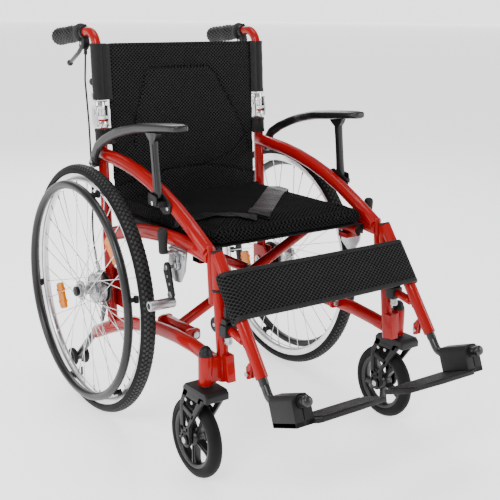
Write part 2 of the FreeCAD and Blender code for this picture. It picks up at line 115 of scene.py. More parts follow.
def mat_new(name, color, rough=0.5, metal=0.0, **kw):
    m = bpy.data.materials.new(name)
    m.use_nodes = True
    b = m.node_tree.nodes["Principled BSDF"]
    b.inputs["Base Color"].default_value = (*color, 1)
    b.inputs["Roughness"].default_value = rough
    b.inputs["Metallic"].default_value = metal
    for k, v in kw.items():
        b.inputs[k.replace("_", " ")].default_value = v
    m.diffuse_color = (*color, 1)
    return m


def nd(m, kind, **props):
    n = m.node_tree.nodes.new(kind)
    for k, v in props.items():
        setattr(n, k, v)
    return n


def ln(m, a, b):
    m.node_tree.links.new(a, b)


def math_node(m, op, a, b=None, c=None):
    n = nd(m, "ShaderNodeMath", operation=op)
    for i, v in enumerate((a, b, c)):
        if v is None:
            continue
        if isinstance(v, (int, float)):
            n.inputs[i].default_value = v
        else:
            ln(m, v, n.inputs[i])
    return n.outputs[0]


def ramp(m, fac, stops):
    r = nd(m, "ShaderNodeValToRGB")
    el = r.color_ramp.elements
    while len(el) < len(stops):
        el.new(0.5)
    for e, (p, c) in zip(el, stops):
        e.position = p
        e.color = (*c, 1) if len(c) == 3 else c
    ln(m, fac, r.inputs[0])
    return r.outputs[0]


def bump(m, height, strength, distance, normal=None):
    b = nd(m, "ShaderNodeBump")
    b.inputs["Strength"].default_value = strength
    b.inputs["Distance"].default_value = distance
    ln(m, height, b.inputs["Height"])
    if normal is not None:
        ln(m, normal, b.inputs["Normal"])
    return b.outputs[0]


def bsdf(m):
    return m.node_tree.nodes["Principled BSDF"]


def noise(m, scale, detail=3, rough=0.5, coord="Object"):
    tc = nd(m, "ShaderNodeTexCoord")
    n = nd(m, "ShaderNodeTexNoise")
    n.inputs["Scale"].default_value = scale
    n.inputs["Detail"].default_value = detail
    n.inputs["Roughness"].default_value = rough
    ln(m, tc.outputs[coord], n.inputs["Vector"])
    return n.outputs["Fac"]


def varied(m, c0, c1, scale, r0, r1, bump_s=0.0, bump_d=0.0002, bscale=None):
    """Slow colour drift, roughness mottling and a fine surface bump."""
    f = noise(m, scale, 4)
    ln(m, ramp(m, f, [(0.3, c0), (0.7, c1)]), bsdf(m).inputs["Base Color"])
    g = noise(m, scale * 3.1, 5, 0.6)
    mr = nd(m, "ShaderNodeMapRange")
    mr.inputs["To Min"].default_value, mr.inputs["To Max"].default_value = r0, r1
    ln(m, g, mr.inputs["Value"])
    ln(m, mr.outputs[0], bsdf(m).inputs["Roughness"])
    if bump_s:
        h = noise(m, bscale or scale * 12, 3)
        ln(m, bump(m, h, bump_s, bump_d), bsdf(m).inputs["Normal"])
    return m


def worn_edges(m, base_out, bright, amount=0.35):
    """Lightens convex edges a little, using pointiness."""
    geo = nd(m, "ShaderNodeNewGeometry")
    e = ramp(m, geo.outputs["Pointiness"], [(0.51, (0, 0, 0)), (0.58, (1, 1, 1))])
    mix = nd(m, "ShaderNodeMix", data_type="RGBA")
    f = math_node(m, "MULTIPLY", e, amount)
    ln(m, f, mix.inputs["Factor"])
    ln(m, base_out, mix.inputs[6])
    mix.inputs[7].default_value = (*bright, 1)
    ln(m, mix.outputs[2], bsdf(m).inputs["Base Color"])


M = {}
M["red"] = varied(mat_new("paint_red", (0.3, 0.0006, 0.0005), 0.3, 0.0, Coat_Weight=0.35, Coat_Roughness=0.02, Coat_IOR=1.4),
                  (0.24, 0.0004, 0.0003), (0.28, 0.0007, 0.0005), 6, 0.26, 0.36, 0.05, 0.0003, 700)
M["chrome"] = varied(mat_new("polished_silver", (0.8, 0.8, 0.81), 0.12, 1.0), (0.5, 0.5, 0.51), (0.62, 0.62, 0.63), 22, 0.08, 0.2, 0.03, 0.0002, 300)
M["zinc"] = varied(mat_new("zinc_silver", (0.62, 0.63, 0.65), 0.35, 1.0), (0.3, 0.305, 0.32), (0.44, 0.445, 0.455), 40, 0.26, 0.4, 0.08, 0.0002, 900)
M["rim"] = varied(mat_new("rim_aluminium", (0.72, 0.73, 0.75), 0.3, 1.0), (0.68, 0.69, 0.71), (0.78, 0.79, 0.8), 30, 0.24, 0.36, 0.04, 0.0002, 800)
M["spoke"] = mat_new("spoke_steel", (0.7, 0.7, 0.72), 0.25, 1.0)
M["metal_black"] = varied(mat_new("black_powder_coat", (0.016, 0.016, 0.017), 0.35, 0.0, Coat_Weight=0.3, Coat_Roughness=0.25),
                          (0.004, 0.004, 0.0045), (0.008, 0.008, 0.0085), 30, 0.3, 0.45, 0.18, 0.0003, 1500)
M["plastic"] = varied(mat_new("black_plastic", (0.018, 0.018, 0.019), 0.42), (0.005, 0.005, 0.0055), (0.010, 0.010, 0.0105), 18, 0.36, 0.5, 0.22, 0.0003, 2200)
M["gloss"] = varied(mat_new("black_gloss_plastic", (0.012, 0.012, 0.013), 0.25), (0.0035, 0.0035, 0.004), (0.007, 0.007, 0.0075), 18, 0.3, 0.36, 0.04, 0.0002, 900)
M["rubber"] = varied(mat_new("black_rubber", (0.018, 0.018, 0.018), 0.6), (0.006, 0.006, 0.006), (0.012, 0.012, 0.012), 25, 0.5, 0.62, 0.12, 0.0003, 1800)
M["tyre"] = varied(mat_new("tyre_rubber", (0.02, 0.02, 0.021), 0.62), (0.003, 0.003, 0.0033), (0.007, 0.007, 0.0075), 14, 0.52, 0.72, 0.25, 0.0004, 1300)
# a lighter copy of the tyre rubber for the tread blocks: a painted highlight on the raised blocks against the darker
# grooves
M["tread"] = varied(mat_new("tread_rubber", (0.02, 0.02, 0.021), 0.62), (0.016, 0.016, 0.0165), (0.026, 0.026, 0.027), 14, 0.5, 0.66, 0.2, 0.0004, 1300)
M["cable"] = varied(mat_new("cable_sheath", (0.016, 0.016, 0.017), 0.4), (0.005, 0.005, 0.0055), (0.009, 0.009, 0.0095), 60, 0.35, 0.48, 0.1, 0.0002, 900)
M["grip"] = mat_new("grip_rubber", (0.01, 0.01, 0.01), 0.5)


def grip_rubber():
    """Raised nubs painted lighter than the grooves between them: a painted highlight on the nub tops and painted shade
    in the grooves.
    """
    m = M["grip"]
    geo = nd(m, "ShaderNodeNewGeometry")
    # pointiness ramp: painted shade in the grooves, painted highlight on the nub tops
    ln(m, ramp(m, geo.outputs["Pointiness"], [(0.47, (0.0004, 0.0004, 0.0004)), (0.5, (0.002, 0.002, 0.002)), (0.525, (0.034, 0.034, 0.035))]), bsdf(m).inputs["Base Color"])
    ln(m, bump(m, noise(m, 1600, 3), 0.12, 0.0003), bsdf(m).inputs["Normal"])


grip_rubber()
M["amber"] = mat_new("amber_lens", (0.8, 0.2, 0.0), 0.25, 0.0, Coat_Weight=0.15, Coat_Roughness=0.05)


def amber():
    m = M["amber"]
    uv = nd(m, "ShaderNodeTexCoord")
    v = nd(m, "ShaderNodeTexVoronoi", feature="DISTANCE_TO_EDGE")
    v.inputs["Scale"].default_value = 380
    ln(m, uv.outputs["Object"], v.inputs["Vector"])
    ln(m, ramp(m, v.outputs["Distance"], [(0.0, (0.6, 0.19, 0.0)), (0.25, (0.5, 0.1, 0.0))]), bsdf(m).inputs["Base Color"])
    ln(m, bump(m, v.outputs["Distance"], 0.6, 0.0006), bsdf(m).inputs["Normal"])
    # painted glow: the reflector lens gives off a faint orange light of its own
    bsdf(m).inputs["Emission Color"].default_value = (1.0, 0.25, 0.0, 1)
    bsdf(m).inputs["Emission Strength"].default_value = 0.03


amber()


def uv_xy(m, su=1.0, sv=1.0):
    u = nd(m, "ShaderNodeUVMap", uv_map="UVMap")
    s = nd(m, "ShaderNodeSeparateXYZ")
    ln(m, u.outputs[0], s.inputs[0])
    return math_node(m, "MULTIPLY", s.outputs[0], su), math_node(m, "MULTIPLY", s.outputs[1], sv)


def tri(m, x):
    """Triangle wave 0..1, 0 on whole numbers."""
    f = math_node(m, "FRACT", x)
    return math_node(m, "MULTIPLY", math_node(m, "MINIMUM", f, math_node(m, "SUBTRACT", 1.0, f)), 2.0)


def spacer_mesh(name, pw, ph, base=0.012, ridge=0.05, rough=0.55, ribs=0.0):
    """Black 3-D spacer mesh: diamond ridges round cells, with a fine knit on the ridges. The cells are painted dark as
    shade in the holes, and the ridges are painted light as a highlight.
    """
    m = mat_new(name, (base, base, base), rough, 0.0, Sheen_Weight=0.0, Sheen_Roughness=0.4)
    bsdf(m).inputs["Specular IOR Level"].default_value = 0.1
    bsdf(m).inputs["Sheen Tint"].default_value = (0.8, 0.85, 1.0, 1)
    u, v = uv_xy(m, 1.0 / pw, 1.0 / ph)
    a = tri(m, math_node(m, "ADD", u, v))
    b = tri(m, math_node(m, "SUBTRACT", u, v))
    cell = math_node(m, "MINIMUM", a, b)            # 0 on the ridges, 1 in the middle
    ridge_h = math_node(m, "SUBTRACT", 1.0, math_node(m, "SMOOTH_MIN", a, b, 0.25))
    prof = math_node(m, "POWER", ridge_h, 1.6)
    # fine yarn along the ridges
    yarn = tri(m, math_node(m, "MULTIPLY", math_node(m, "SUBTRACT", u, math_node(m, "MULTIPLY", v, 0.35)), 4.0))
    hh = math_node(m, "ADD", prof, math_node(m, "MULTIPLY", math_node(m, "MULTIPLY", yarn, prof), 0.22))
    n = noise(m, 240, 3, 0.6)
    hh = math_node(m, "ADD", hh, math_node(m, "MULTIPLY", n, 0.12))
    # colour follows the ridge height: painted shade in the cells, painted highlight on the ridges
    col = ramp(m, prof, [(0.3, (base * 0.4,) * 3), (0.55, (base,) * 3), (0.82, (ridge, ridge, ridge * 1.04))])
    slow = noise(m, 9, 3)
    mix = nd(m, "ShaderNodeMix", data_type="RGBA", blend_type="MULTIPLY")
    mix.inputs[0].default_value = 0.5
    ln(m, col, mix.inputs[6])
    ln(m, ramp(m, slow, [(0.3, (0.7, 0.7, 0.7)), (0.7, (1.15, 1.15, 1.18))]), mix.inputs[7])
    ln(m, mix.outputs[2], bsdf(m).inputs["Base Color"])
    mr = nd(m, "ShaderNodeMapRange")
    mr.inputs["To Min"].default_value, mr.inputs["To Max"].default_value = 0.85, rough
    ln(m, prof, mr.inputs["Value"])
    ln(m, mr.outputs[0], bsdf(m).inputs["Roughness"])
    ln(m, bump(m, hh, 1.0, 0.0026), bsdf(m).inputs["Normal"])
    return m


# base and ridge colours: painted shade in the cells, painted highlight on the ridges
M["mesh_back"] = spacer_mesh("spacer_mesh_back", 0.0095, 0.0085, 0.0008, 0.034, 0.7)
M["mesh_seat"] = spacer_mesh("spacer_mesh_seat", 0.0108, 0.0082, 0.0005, 0.022, 0.75)
M["mesh_strap"] = spacer_mesh("spacer_mesh_strap", 0.0112, 0.0084, 0.0008, 0.034, 0.65)


def weave(name, pitch, base, rough, sheen=0.2, strength=0.5, wrinkle=0.0):
    m = mat_new(name, (base,) * 3, rough, 0.0, Sheen_Weight=sheen, Sheen_Roughness=0.35)
    u, v = uv_xy(m, 1.0 / pitch, 1.0 / pitch)
    a, b = tri(m, u), tri(m, v)
    chk = math_node(m, "ABSOLUTE", math_node(m, "SUBTRACT", a, b))
    n = noise(m, 60, 4)
    h = math_node(m, "ADD", math_node(m, "MULTIPLY", chk, 0.6), math_node(m, "MULTIPLY", n, 0.5))
    ln(m, ramp(m, math_node(m, "ADD", math_node(m, "MULTIPLY", chk, 0.5), math_node(m, "MULTIPLY", n, 0.5)),
               [(0.2, (base * 0.7,) * 3), (0.8, (base * 1.6,) * 3)]), bsdf(m).inputs["Base Color"])
    nrm = bump(m, h, strength, pitch * 0.5)
    if wrinkle:
        w = noise(m, 26, 3, 0.55)
        nrm = bump(m, w, wrinkle, 0.004, nrm)
    ln(m, nrm, bsdf(m).inputs["Normal"])
    return m


M["nylon"] = weave("nylon_cloth", 0.0011, 0.005, 0.5, 0.04, 0.35, 0.6)
M["binding"] = weave("binding_tape", 0.0014, 0.0055, 0.5, 0.04, 0.5)


def webbing():
    m = mat_new("satin_webbing", (0.008, 0.008, 0.009), 0.28, 0.0, Sheen_Weight=0.03, Sheen_Roughness=0.3, Anisotropic=0.5)
    u, v = uv_xy(m, 1.0 / 0.0022, 1.0 / 0.0016)
    zig = tri(m, math_node(m, "ADD", u, math_node(m, "MULTIPLY", tri(m, v), 0.5)))
    ln(m, ramp(m, zig, [(0.1, (0.002, 0.002, 0.0025)), (0.9, (0.007, 0.007, 0.0078))]), bsdf(m).inputs["Base Color"])
    w = noise(m, 35, 3)
    nrm = bump(m, zig, 0.35, 0.0005)
    ln(m, bump(m, w, 0.35, 0.003, nrm), bsdf(m).inputs["Normal"])
    return m


M["webbing"] = webbing()


def tread_plate():
    """Moulded plastic with a fine orange-peel texture for the footplates."""
    return varied(mat_new("footplate_plastic", (0.02, 0.02, 0.021), 0.5), (0.006, 0.006, 0.0065), (0.011, 0.011, 0.0115), 12, 0.45, 0.6, 0.35, 0.0005, 1400)


M["foot"] = tread_plate()

# ======================================================================
# mesh building
# ======================================================================


class G:
    """A mesh under construction, in side-view millimetres for the left side (+X)."""

    def __init__(self):
        self.v, self.f = [], []

    def add(self, verts, faces):
        o = len(self.v)
        self.v += [tuple(p) for p in verts]
        self.f += [tuple(i + o for i in q) for q in faces]
        return self

    # -- swept tube -----------------------------------------------------
    def tube(self, pts, radii, r, ell=None, segs=28, cap=1.2, taper=None):
        path = fillet(pts, radii)
        path = [Vector(p) for p in path]
        tang = []
        for i in range(len(path)):
            a = path[max(i - 1, 0)]
            b = path[min(i + 1, len(path) - 1)]
            if 0 < i < len(path) - 1:
                t = (path[i] - a).normalized() + (b - path[i]).normalized()
            else:
                t = b - a
            tang.append(t.normalized())
        x = Vector((1, 0, 0))
        if abs(tang[0].dot(x)) > 0.9:
            x = Vector((0, 0, 1))
        n = (x - tang[0] * x.dot(tang[0])).normalized()
        rings = []
        for i, p in enumerate(path):
            if i:
                q = tang[i - 1].rotation_difference(tang[i])
                n = q @ n
                n = (n - tang[i] * n.dot(tang[i])).normalized()
            rings.append((p, n.copy(), tang[i].cross(n), r if taper is None else r * taper[min(i, len(taper) - 1)]))
        verts, faces = [], []

        def circle(p, a, b, ra, rb):
            return [p + a * (ra * math.cos(2 * math.pi * k / segs)) + b * (rb * math.sin(2 * math.pi * k / segs)) for k in range(segs)]
        loops = []
        for i, (p, a, b, rr) in enumerate(rings):
            ra, rb = (ell if ell else (rr, rr))
            if i == 0 and cap:
                loops.append(circle(p, a, b, ra - cap, rb - cap))
                loops.append(circle(p + tang[0] * cap * 0.3, a, b, ra - cap * 0.3, rb - cap * 0.3))
                loops.append(circle(p + tang[0] * cap, a, b, ra, rb))
            elif i == len(rings) - 1 and cap:
                loops.append(circle(p - tang[-1] * cap, a, b, ra, rb))
                loops.append(circle(p - tang[-1] * cap * 0.3, a, b, ra - cap * 0.3, rb - cap * 0.3))
                loops.append(circle(p, a, b, ra - cap, rb - cap))
            else:
                loops.append(circle(p, a, b, ra, rb))
        for lp in loops:
            verts += lp
        for i in range(len(loops) - 1):
            for k in range(segs):
                a0, a1 = i * segs + k, i * segs + (k + 1) % segs
                faces.append((a0, a1, a1 + segs, a0 + segs))
        faces.append(tuple(reversed(range(segs))))
        faces.append(tuple(range((len(loops) - 1) * segs, len(loops) * segs)))
        return self.add(verts, faces)

    # -- lathe about a line ------------------------------------------------
    def lathe(self, prof, origin, axis, segs=48, closed=False, phase=0.0, wob=None):
        """prof: (radius, distance along axis). Open profiles run from axis to axis or ring to ring."""
        o, ax = Vector(origin), Vector(axis).normalized()
        ref = Vector((0, 0, 1)) if abs(ax.z) < 0.9 else Vector((1, 0, 0))
        a = (ref - ax * ref.dot(ax)).normalized()
        b = ax.cross(a)
        verts, faces, idx = [], [], []
        for j, (r, s) in enumerate(prof):
            if r < 1e-6:
                idx.append([len(verts)])
                verts.append(o + ax * s)
            else:
                row = []
                for k in range(segs):
                    t = 2 * math.pi * k / segs + phase
                    rr = r if wob is None else r + wob(j, k, t)
                    row.append(len(verts))
                    verts.append(o + ax * s + a * (rr * math.cos(t)) + b * (rr * math.sin(t)))
                idx.append(row)
        pairs = list(zip(idx, idx[1:])) + ([(idx[-1], idx[0])] if closed else [])
        for p, q in pairs:
            if len(p) == 1 and len(q) == 1:
                continue
            for k in range(segs):
                k1 = (k + 1) % segs
                if len(p) == 1:
                    faces.append((p[0], q[k], q[k1]))
                elif len(q) == 1:
                    faces.append((p[k], q[0], p[k1]))
                else:
                    faces.append((p[k], q[k], q[k1], p[k1]))
        return self.add(verts, faces)

    def cyl(self, a, b, r, bev=0.8, segs=32, hole=0.0):
        a, b = Vector(a), Vector(b)
        L = (b - a).length
        bev = min(bev, r * 0.4, L * 0.3)
        if hole:
            pr = [(hole, 0), (r - bev, 0), (r - bev * 0.3, bev * 0.3), (r, bev), (r, L - bev), (r - bev * 0.3, L - bev * 0.3), (r - bev, L), (hole, L)]
            return self.lathe(pr, a, b - a, segs, closed=True)
        pr = [(0, 0), (r - bev, 0), (r - bev * 0.3, bev * 0.3), (r, bev), (r, L - bev), (r - bev * 0.3, L - bev * 0.3), (r - bev, L), (0, L)]
        return self.lathe(pr, a, b - a, segs)

    # -- bevelled extrusion --------------------------------------------------
    def prism(self, pts, d, a, b, bev=1.0, seg=2, corner=0.0, origin=None, axes=None):
        """pts in the plane across axis d (0 x, 1 y, 2 z), extruded from a to b. axes gives a local frame (e0, e1, e2) for (extrude, u, v)."""
        if corner:
            pts = round_corners(pts, corner)
        bm = bmesh.new()
        if axes is None:
            def at(u, v, w):
                return {0: (w, u, v), 1: (u, w, v), 2: (u, v, w)}[d]
        else:
            o = Vector(origin)

            def at(u, v, w):
                return o + axes[0] * w + axes[1] * u + axes[2] * v
        v0 = [bm.verts.new(at(u, v, a)) for u, v in pts]
        v1 = [bm.verts.new(at(u, v, b)) for u, v in pts]
        bm.faces.new(v0)
        bm.faces.new(list(reversed(v1)))
        n = len(pts)
        for i in range(n):
            bm.faces.new((v0[(i + 1) % n], v0[i], v1[i], v1[(i + 1) % n]))
        bmesh.ops.recalc_face_normals(bm, faces=bm.faces)
        if bev:
            e = [e for e in bm.edges if len(e.link_faces) == 2 and e.calc_face_angle(0) > math.radians(28)]
            bmesh.ops.bevel(bm, geom=e, offset=bev, segments=seg, affect="EDGES", profile=0.6, clamp_overlap=True)
        bm.verts.ensure_lookup_table()
        bm.verts.index_update()
        verts = [tuple(v.co) for v in bm.verts]
        faces = [tuple(v.index for v in f.verts) for f in bm.faces]
        bm.free()
        return self.add(verts, faces)

    def box(self, x0, x1, y0, y1, z0, z1, bev=1.0, seg=2):
        return self.prism([(y0, z0), (y1, z0), (y1, z1), (y0, z1)], 0, x0, x1, bev, seg)

    def ball(self, c, r, segs=24, sq=1.0):
        pr = [(r * math.sin(math.pi * i / 12), -r * math.cos(math.pi * i / 12) * sq) for i in range(13)]
        pr[0], pr[-1] = (0, -r * sq), (0, r * sq)
        return self.lathe(pr, c, (0, 0, 1), segs)

    def merged(self, *others):
        for g in others:
            self.add(g.v, g.f)
        return self

    def turned(self, axis_pt, axis, deg):
        q = Matrix.Translation(Vector(axis_pt)) @ Matrix.Rotation(math.radians(deg), 4, Vector(axis)) @ Matrix.Translation(-Vector(axis_pt))
        g = G()
        g.v = [tuple(q @ Vector(p)) for p in self.v]
        g.f = list(self.f)
        return g

    def obj(self, name, mat, mirror=False, angle=38, uv=False):
        me = bpy.data.meshes.new(name)
        s = -1 if mirror else 1
        vs = [(s * x / 1000.0, (y + YO) / 1000.0, z / 1000.0) for x, y, z in self.v]
        fs = [tuple(reversed(f)) for f in self.f] if mirror else self.f
        me.from_pydata(vs, [], fs)
        me.validate()
        me.update()
        bm = bmesh.new()
        bm.from_mesh(me)
        bmesh.ops.remove_doubles(bm, verts=bm.verts, dist=1e-6)
        bmesh.ops.recalc_face_normals(bm, faces=bm.faces)
        bm.to_mesh(me)
        bm.free()
        me.shade_smooth()
        me.set_sharp_from_angle(angle=math.radians(angle))
        me.materials.append(mat)
        o = bpy.data.objects.new(name, me)
        bpy.context.scene.collection.objects.link(o)
        if uv:
            box_uv(o)
        return o


def fillet(pts, radii, step=5.0):
    pts = [Vector(p) for p in pts]
    if len(pts) == 2:
        return pts
    out = [pts[0]]
    for i in range(1, len(pts) - 1):
        c = pts[i]
        u, w = (pts[i - 1] - c).normalized(), (pts[i + 1] - c).normalized()
        ang = math.pi - u.angle(w)
        r = radii[i - 1]
        t = r * math.tan(ang / 2)
        p, q = c + u * t, c + w * t
        m = (u + w).normalized()
        cen = c + m * (r / math.cos(ang / 2))
        a, b = p - cen, q - cen
        k = max(2, int(math.degrees(ang) / step) + 1)
        for j in range(k + 1):
            s = j / k
            out.append(cen + (a * math.sin((1 - s) * ang) + b * math.sin(s * ang)) / math.sin(ang))
    out.append(pts[-1])
    clean = [out[0]]
    for p in out[1:]:
        if (p - clean[-1]).length > 0.05:
            clean.append(p)
    return clean


def round_corners(pts, r, k=4):
    out, n = [], len(pts)
    for i in range(n):
        a, c, b = Vector(pts[i - 1]), Vector(pts[i]), Vector(pts[(i + 1) % n])
        u, w = (a - c), (b - c)
        lu, lw = u.length, w.length
        if lu < 1e-6 or lw < 1e-6:
            continue
        u, w = u / lu, w / lw
        ang = math.pi - math.acos(max(-1, min(1, u.dot(w))))
        if ang < 0.15:
            out.append(tuple(c))
            continue
        t = min(r * math.tan(ang / 2), lu * 0.45, lw * 0.45)
        p, q = c + u * t, c + w * t
        for j in range(k + 1):
            s = j / k
            out.append(tuple(p * (1 - s) ** 2 + c * 2 * s * (1 - s) + q * s * s))
    return out


def box_uv(o):
    me = o.data
    uv = me.uv_layers.get("UVMap") or me.uv_layers.new(name="UVMap")
    co = np.empty(len(me.vertices) * 3)
    me.vertices.foreach_get("co", co)
    co = co.reshape(-1, 3)
    lv = np.empty(len(me.loops), dtype=np.int32)
    me.loops.foreach_get("vertex_index", lv)
    pn = np.empty(len(me.polygons) * 3)
    me.polygons.foreach_get("normal", pn)
    pn = np.abs(pn.reshape(-1, 3))
    lt = np.empty(len(me.polygons), dtype=np.int32)
    me.polygons.foreach_get("loop_total", lt)
    dom = np.repeat(pn.argmax(1), lt)
    c = co[lv]
    out = np.empty((len(lv), 2))
    for d, (i, j) in {0: (1, 2), 1: (0, 2), 2: (0, 1)}.items():
        k = dom == d
        out[k, 0], out[k, 1] = c[k, i], c[k, j]
    uv.data.foreach_set("uv", out.ravel())


def both(name, body, g, mat, node=None, uv=False, angle=38, only=None):
    """Left piece from g, right piece mirrored."""
    made = []
    for side, mir in (("left", False), ("right", True)):
        if only and side != only:
            continue
        o = g.obj(name + "_" + side, M[mat], mir, angle, uv)
        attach(o, body + "_" + side)
        if node:
            for n in ([node] if isinstance(node, str) else node):
                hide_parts(n + "_" + side)
        made.append(o)
    return made


def yz(pts, x):
    return [(x, y, z) for y, z in pts]


def postY(z):
    return 3.0 + (z - 220.0) * 0.066


def hangY(z):
    return -478.0 + (z - 393.0) * 0.113

# ======================================================================
# hard parts, left side in millimetres, mirrored for the right
# ======================================================================
XF = 232.0
AXZ = 305.0

# ---- side frame --------------------------------------------------------
g = G()
g.tube([(XF, postY(215), 215), (XF, postY(710), 710)], [], 12.5, segs=32)
g.tube(yz([(30, 629), (-208.3, 614.7), (-440, 487.3)], XF), [800], 15.5, segs=36, cap=0.6)
g.tube(yz([(8, 432), (-210, 500), (-446, 478)], XF), [930], 0, ell=(12.5, 17.0), segs=36, cap=0.6)
g.tube(yz([(100, 152), (-197, 291.6), (-488, 251)], XF), [850], 0, ell=(12.5, 17.0), segs=36, cap=0.8)
g.tube(yz([(-443, 502), (-454, 380)], XF), [], 8.5, segs=24)
g.tube([(XF, hangY(224), 224), (XF, hangY(411.5), 411.5)], [], 12.5, segs=32)
g.prism([(-474, 384), (-452, 384), (-450, 412), (-472, 412)], 0, XF - 5, XF + 5, 0.8)
g.cyl((272, -488, 222), (272, -488, 285), 15.5, 1.2, 36)
g.prism([(-503, 228), (-472, 228), (-472, 280), (-500, 280)], 0, XF + 4, 266, 2.5, 3)
g.prism([(-524, 228), (-492, 228), (-490, 285), (-516, 285)], 0, XF - 12, XF + 8, 1.6, 3)
g.prism([(-34, 250), (20, 250), (24, 345), (-22, 345), (-34, 330)], 0, 214.0, 219.5, 0.9, 2, corner=6)
g.prism([(-20, 262), (28, 262), (28, 340), (-14, 340)], 0, 244.5, 250.0, 0.9, 2, corner=6)
g.cyl((219, 0, AXZ), (245, 0, AXZ), 14, 1)
XPm, ZPm = 203.0, 272.0
for y0, y1 in ((-340, -331), (-221, -212)):
    g.prism([(XPm - 13, ZPm - 13), (XPm + 24, ZPm - 13), (XPm + 24, ZPm + 8), (XPm + 12, ZPm + 13), (XPm - 13, ZPm + 13)], 1, y0, y1, 1.0, 2, corner=8)
g.box(182, 226, -395, -365, 450, 462.4, 1.5, 3)
g.box(214.5, 226, -395, -365, 450, 482, 1.5, 3)
g.box(182, 226, -115, -85, 448, 462.4, 1.5, 3)
g.cyl((XF + 6, 28, 612), (245.5, 28, 612), 11, 1)


def bead(g, pts, r=2.2):
    """A weld bead: a lumpy closed ring of short overlaps."""
    n = len(pts)
    dense = []
    for i in range(n):
        a, b = Vector(pts[i]), Vector(pts[(i + 1) % n])
        k = max(1, int((b - a).length / 1.6))
        dense += [a + (b - a) * (j / k) for j in range(k)]
    n = len(dense)
    segs = 8
    verts, faces = [], []
    cen = sum(dense, Vector()) / n
    for i, p in enumerate(dense):
        t = (dense[(i + 1) % n] - dense[i - 1]).normalized()
        o = (p - cen).normalized()
        o = (o - t * o.dot(t)).normalized()
        w = t.cross(o)
        rr = r * (1 + 0.16 * math.sin(i * 1.45))
        for k in range(segs):
            q = 2 * math.pi * k / segs
            verts.append(p + o * rr * math.cos(q) + w * rr * math.sin(q))
    for i in range(n):
        for k in range(segs):
            a, b = i * segs + k, i * segs + (k + 1) % segs
            c, d = ((i + 1) % n) * segs + (k + 1) % segs, ((i + 1) % n) * segs + k
            faces.append((a, b, c, d))
    g.add(verts, faces)


def tube_joint(p_axis, d_axis, r_axis, p0, d0, r0x, r0z=None, n=48):
    """Points where a tube from p0 along d0 meets the tube round p_axis."""
    r0z = r0z or r0x
    p_axis, d_axis, p0, d0 = Vector(p_axis), Vector(d_axis).normalized(), Vector(p0), Vector(d0).normalized()
    a = Vector((1, 0, 0))
    b = d0.cross(a).normalized()
    out = []
    for i in range(n):
        t = 2 * math.pi * i / n
        q = p0 + a * r0x * math.cos(t) + b * r0z * math.sin(t)
        w = q - p_axis
        dd = d0 - d_axis * d0.dot(d_axis)
        ww = w - d_axis * w.dot(d_axis)
        A, B, C = dd.dot(dd), 2 * dd.dot(ww), ww.dot(ww) - r_axis ** 2
        disc = B * B - 4 * A * C
        if disc < 0:
            s = -B / (2 * A)
        else:
            s = (-B - math.sqrt(disc)) / (2 * A)
            s2 = (-B + math.sqrt(disc)) / (2 * A)
            s = s if abs(s) < abs(s2) else s2
        out.append(q + d0 * s)
    return out


post_d = Vector((0, 0.066, 1))
bead(g, tube_joint((XF, postY(629), 629), post_d, 12.7, (XF, 18, 628), (0, 1, 0.06), 12.4, 15.4), 1.7)
bead(g, tube_joint((XF, postY(430), 430), post_d, 12.7, (XF, 4, 434), (0, 1, -0.35), 12.0, 16.6), 1.7)
bead(g, tube_joint((XF, postY(225), 225), post_d, 12.7, (XF, -9, 207), (0, 1, -0.47), 12.0, 16.6), 1.5)
both("frame_tubes", "side", g, "red", "side_frame")
# black caps, ring and small fasteners of the frame
g = G()
g.lathe([(0, 0), (14.8, 0), (14.8, 5), (13.6, 8.5), (12.6, 9.5), (12.0, 13), (9.6, 18), (5.5, 21.4), (0, 22.6)], (272, -488, 283.8), (0, 0, 1), 36)
g.cyl((XF, hangY(411.4), 411.4), (XF, hangY(416.0), 416.0), 14.0, 0.8, 36)
g.ball((XF, postY(213.5), 213.5), 11.2, 24, 0.35)
g.lathe([(0, 0), (12.0, 0), (12.3, 1.4), (10, 3.4), (0, 4.2)], (XF, 102.5, 150.8), (0, 0.905, -0.425), 28)
both("frame_caps", "side", g, "plastic", None)
g = G()
g.cyl((203, -345, 272), (203, -340, 272), 8.5, 1.2, 6)
g.cyl((203, -212, 272), (203, -207, 272), 8.5, 1.2, 6)
ad = Vector((-math.cos(math.radians(10)), 0, math.sin(math.radians(10))))
g.cyl(Vector((252, 25, 612)) - ad * 12.5, Vector((252, 25, 612)) - ad * 18.5, 7.2, 1.5, 24)
g.cyl(Vector((252, 25, 612)) - ad * 18.3, Vector((252, 25, 612)) - ad * 20.0, 3.6, 0.6, 6)
for y, z in ((-12, 272), (6, 276)):
    g.cyl((212.6, y, z), (214.2, y, z), 4.2, 0.6, 20)
both("frame_bolts", "side", g, "zinc", None)

# ---- polished back hinge ------------------------------------------------
hy = postY(728)
g = G()
g.prism([(postY(696) - 13, 694), (postY(696) + 13, 694), (hy + 14, 722), (hy + 12, 744), (hy - 12, 744), (hy - 14, 722)], 0, XF - 16.5, XF - 12.8, 1.0, 2, corner=5)
g.prism([(postY(696) - 13, 694), (postY(696) + 13, 694), (hy + 14, 722), (hy + 12, 744), (hy - 12, 744), (hy - 14, 722)], 0, XF + 12.8, XF + 16.5, 1.0, 2, corner=5)
g.cyl((XF, postY(690), 690), (XF, postY(706), 706), 16.5, 1.2, 40)
g.cyl((XF - 18.8, hy, 728), (XF - 16, hy, 728), 5.4, 0.8, 24)
g.cyl((XF + 16, hy, 728), (XF + 18.8, hy, 728), 5.4, 0.8, 24)
both("back_hinge_clevis", "side", g, "chrome", "back_hinge")

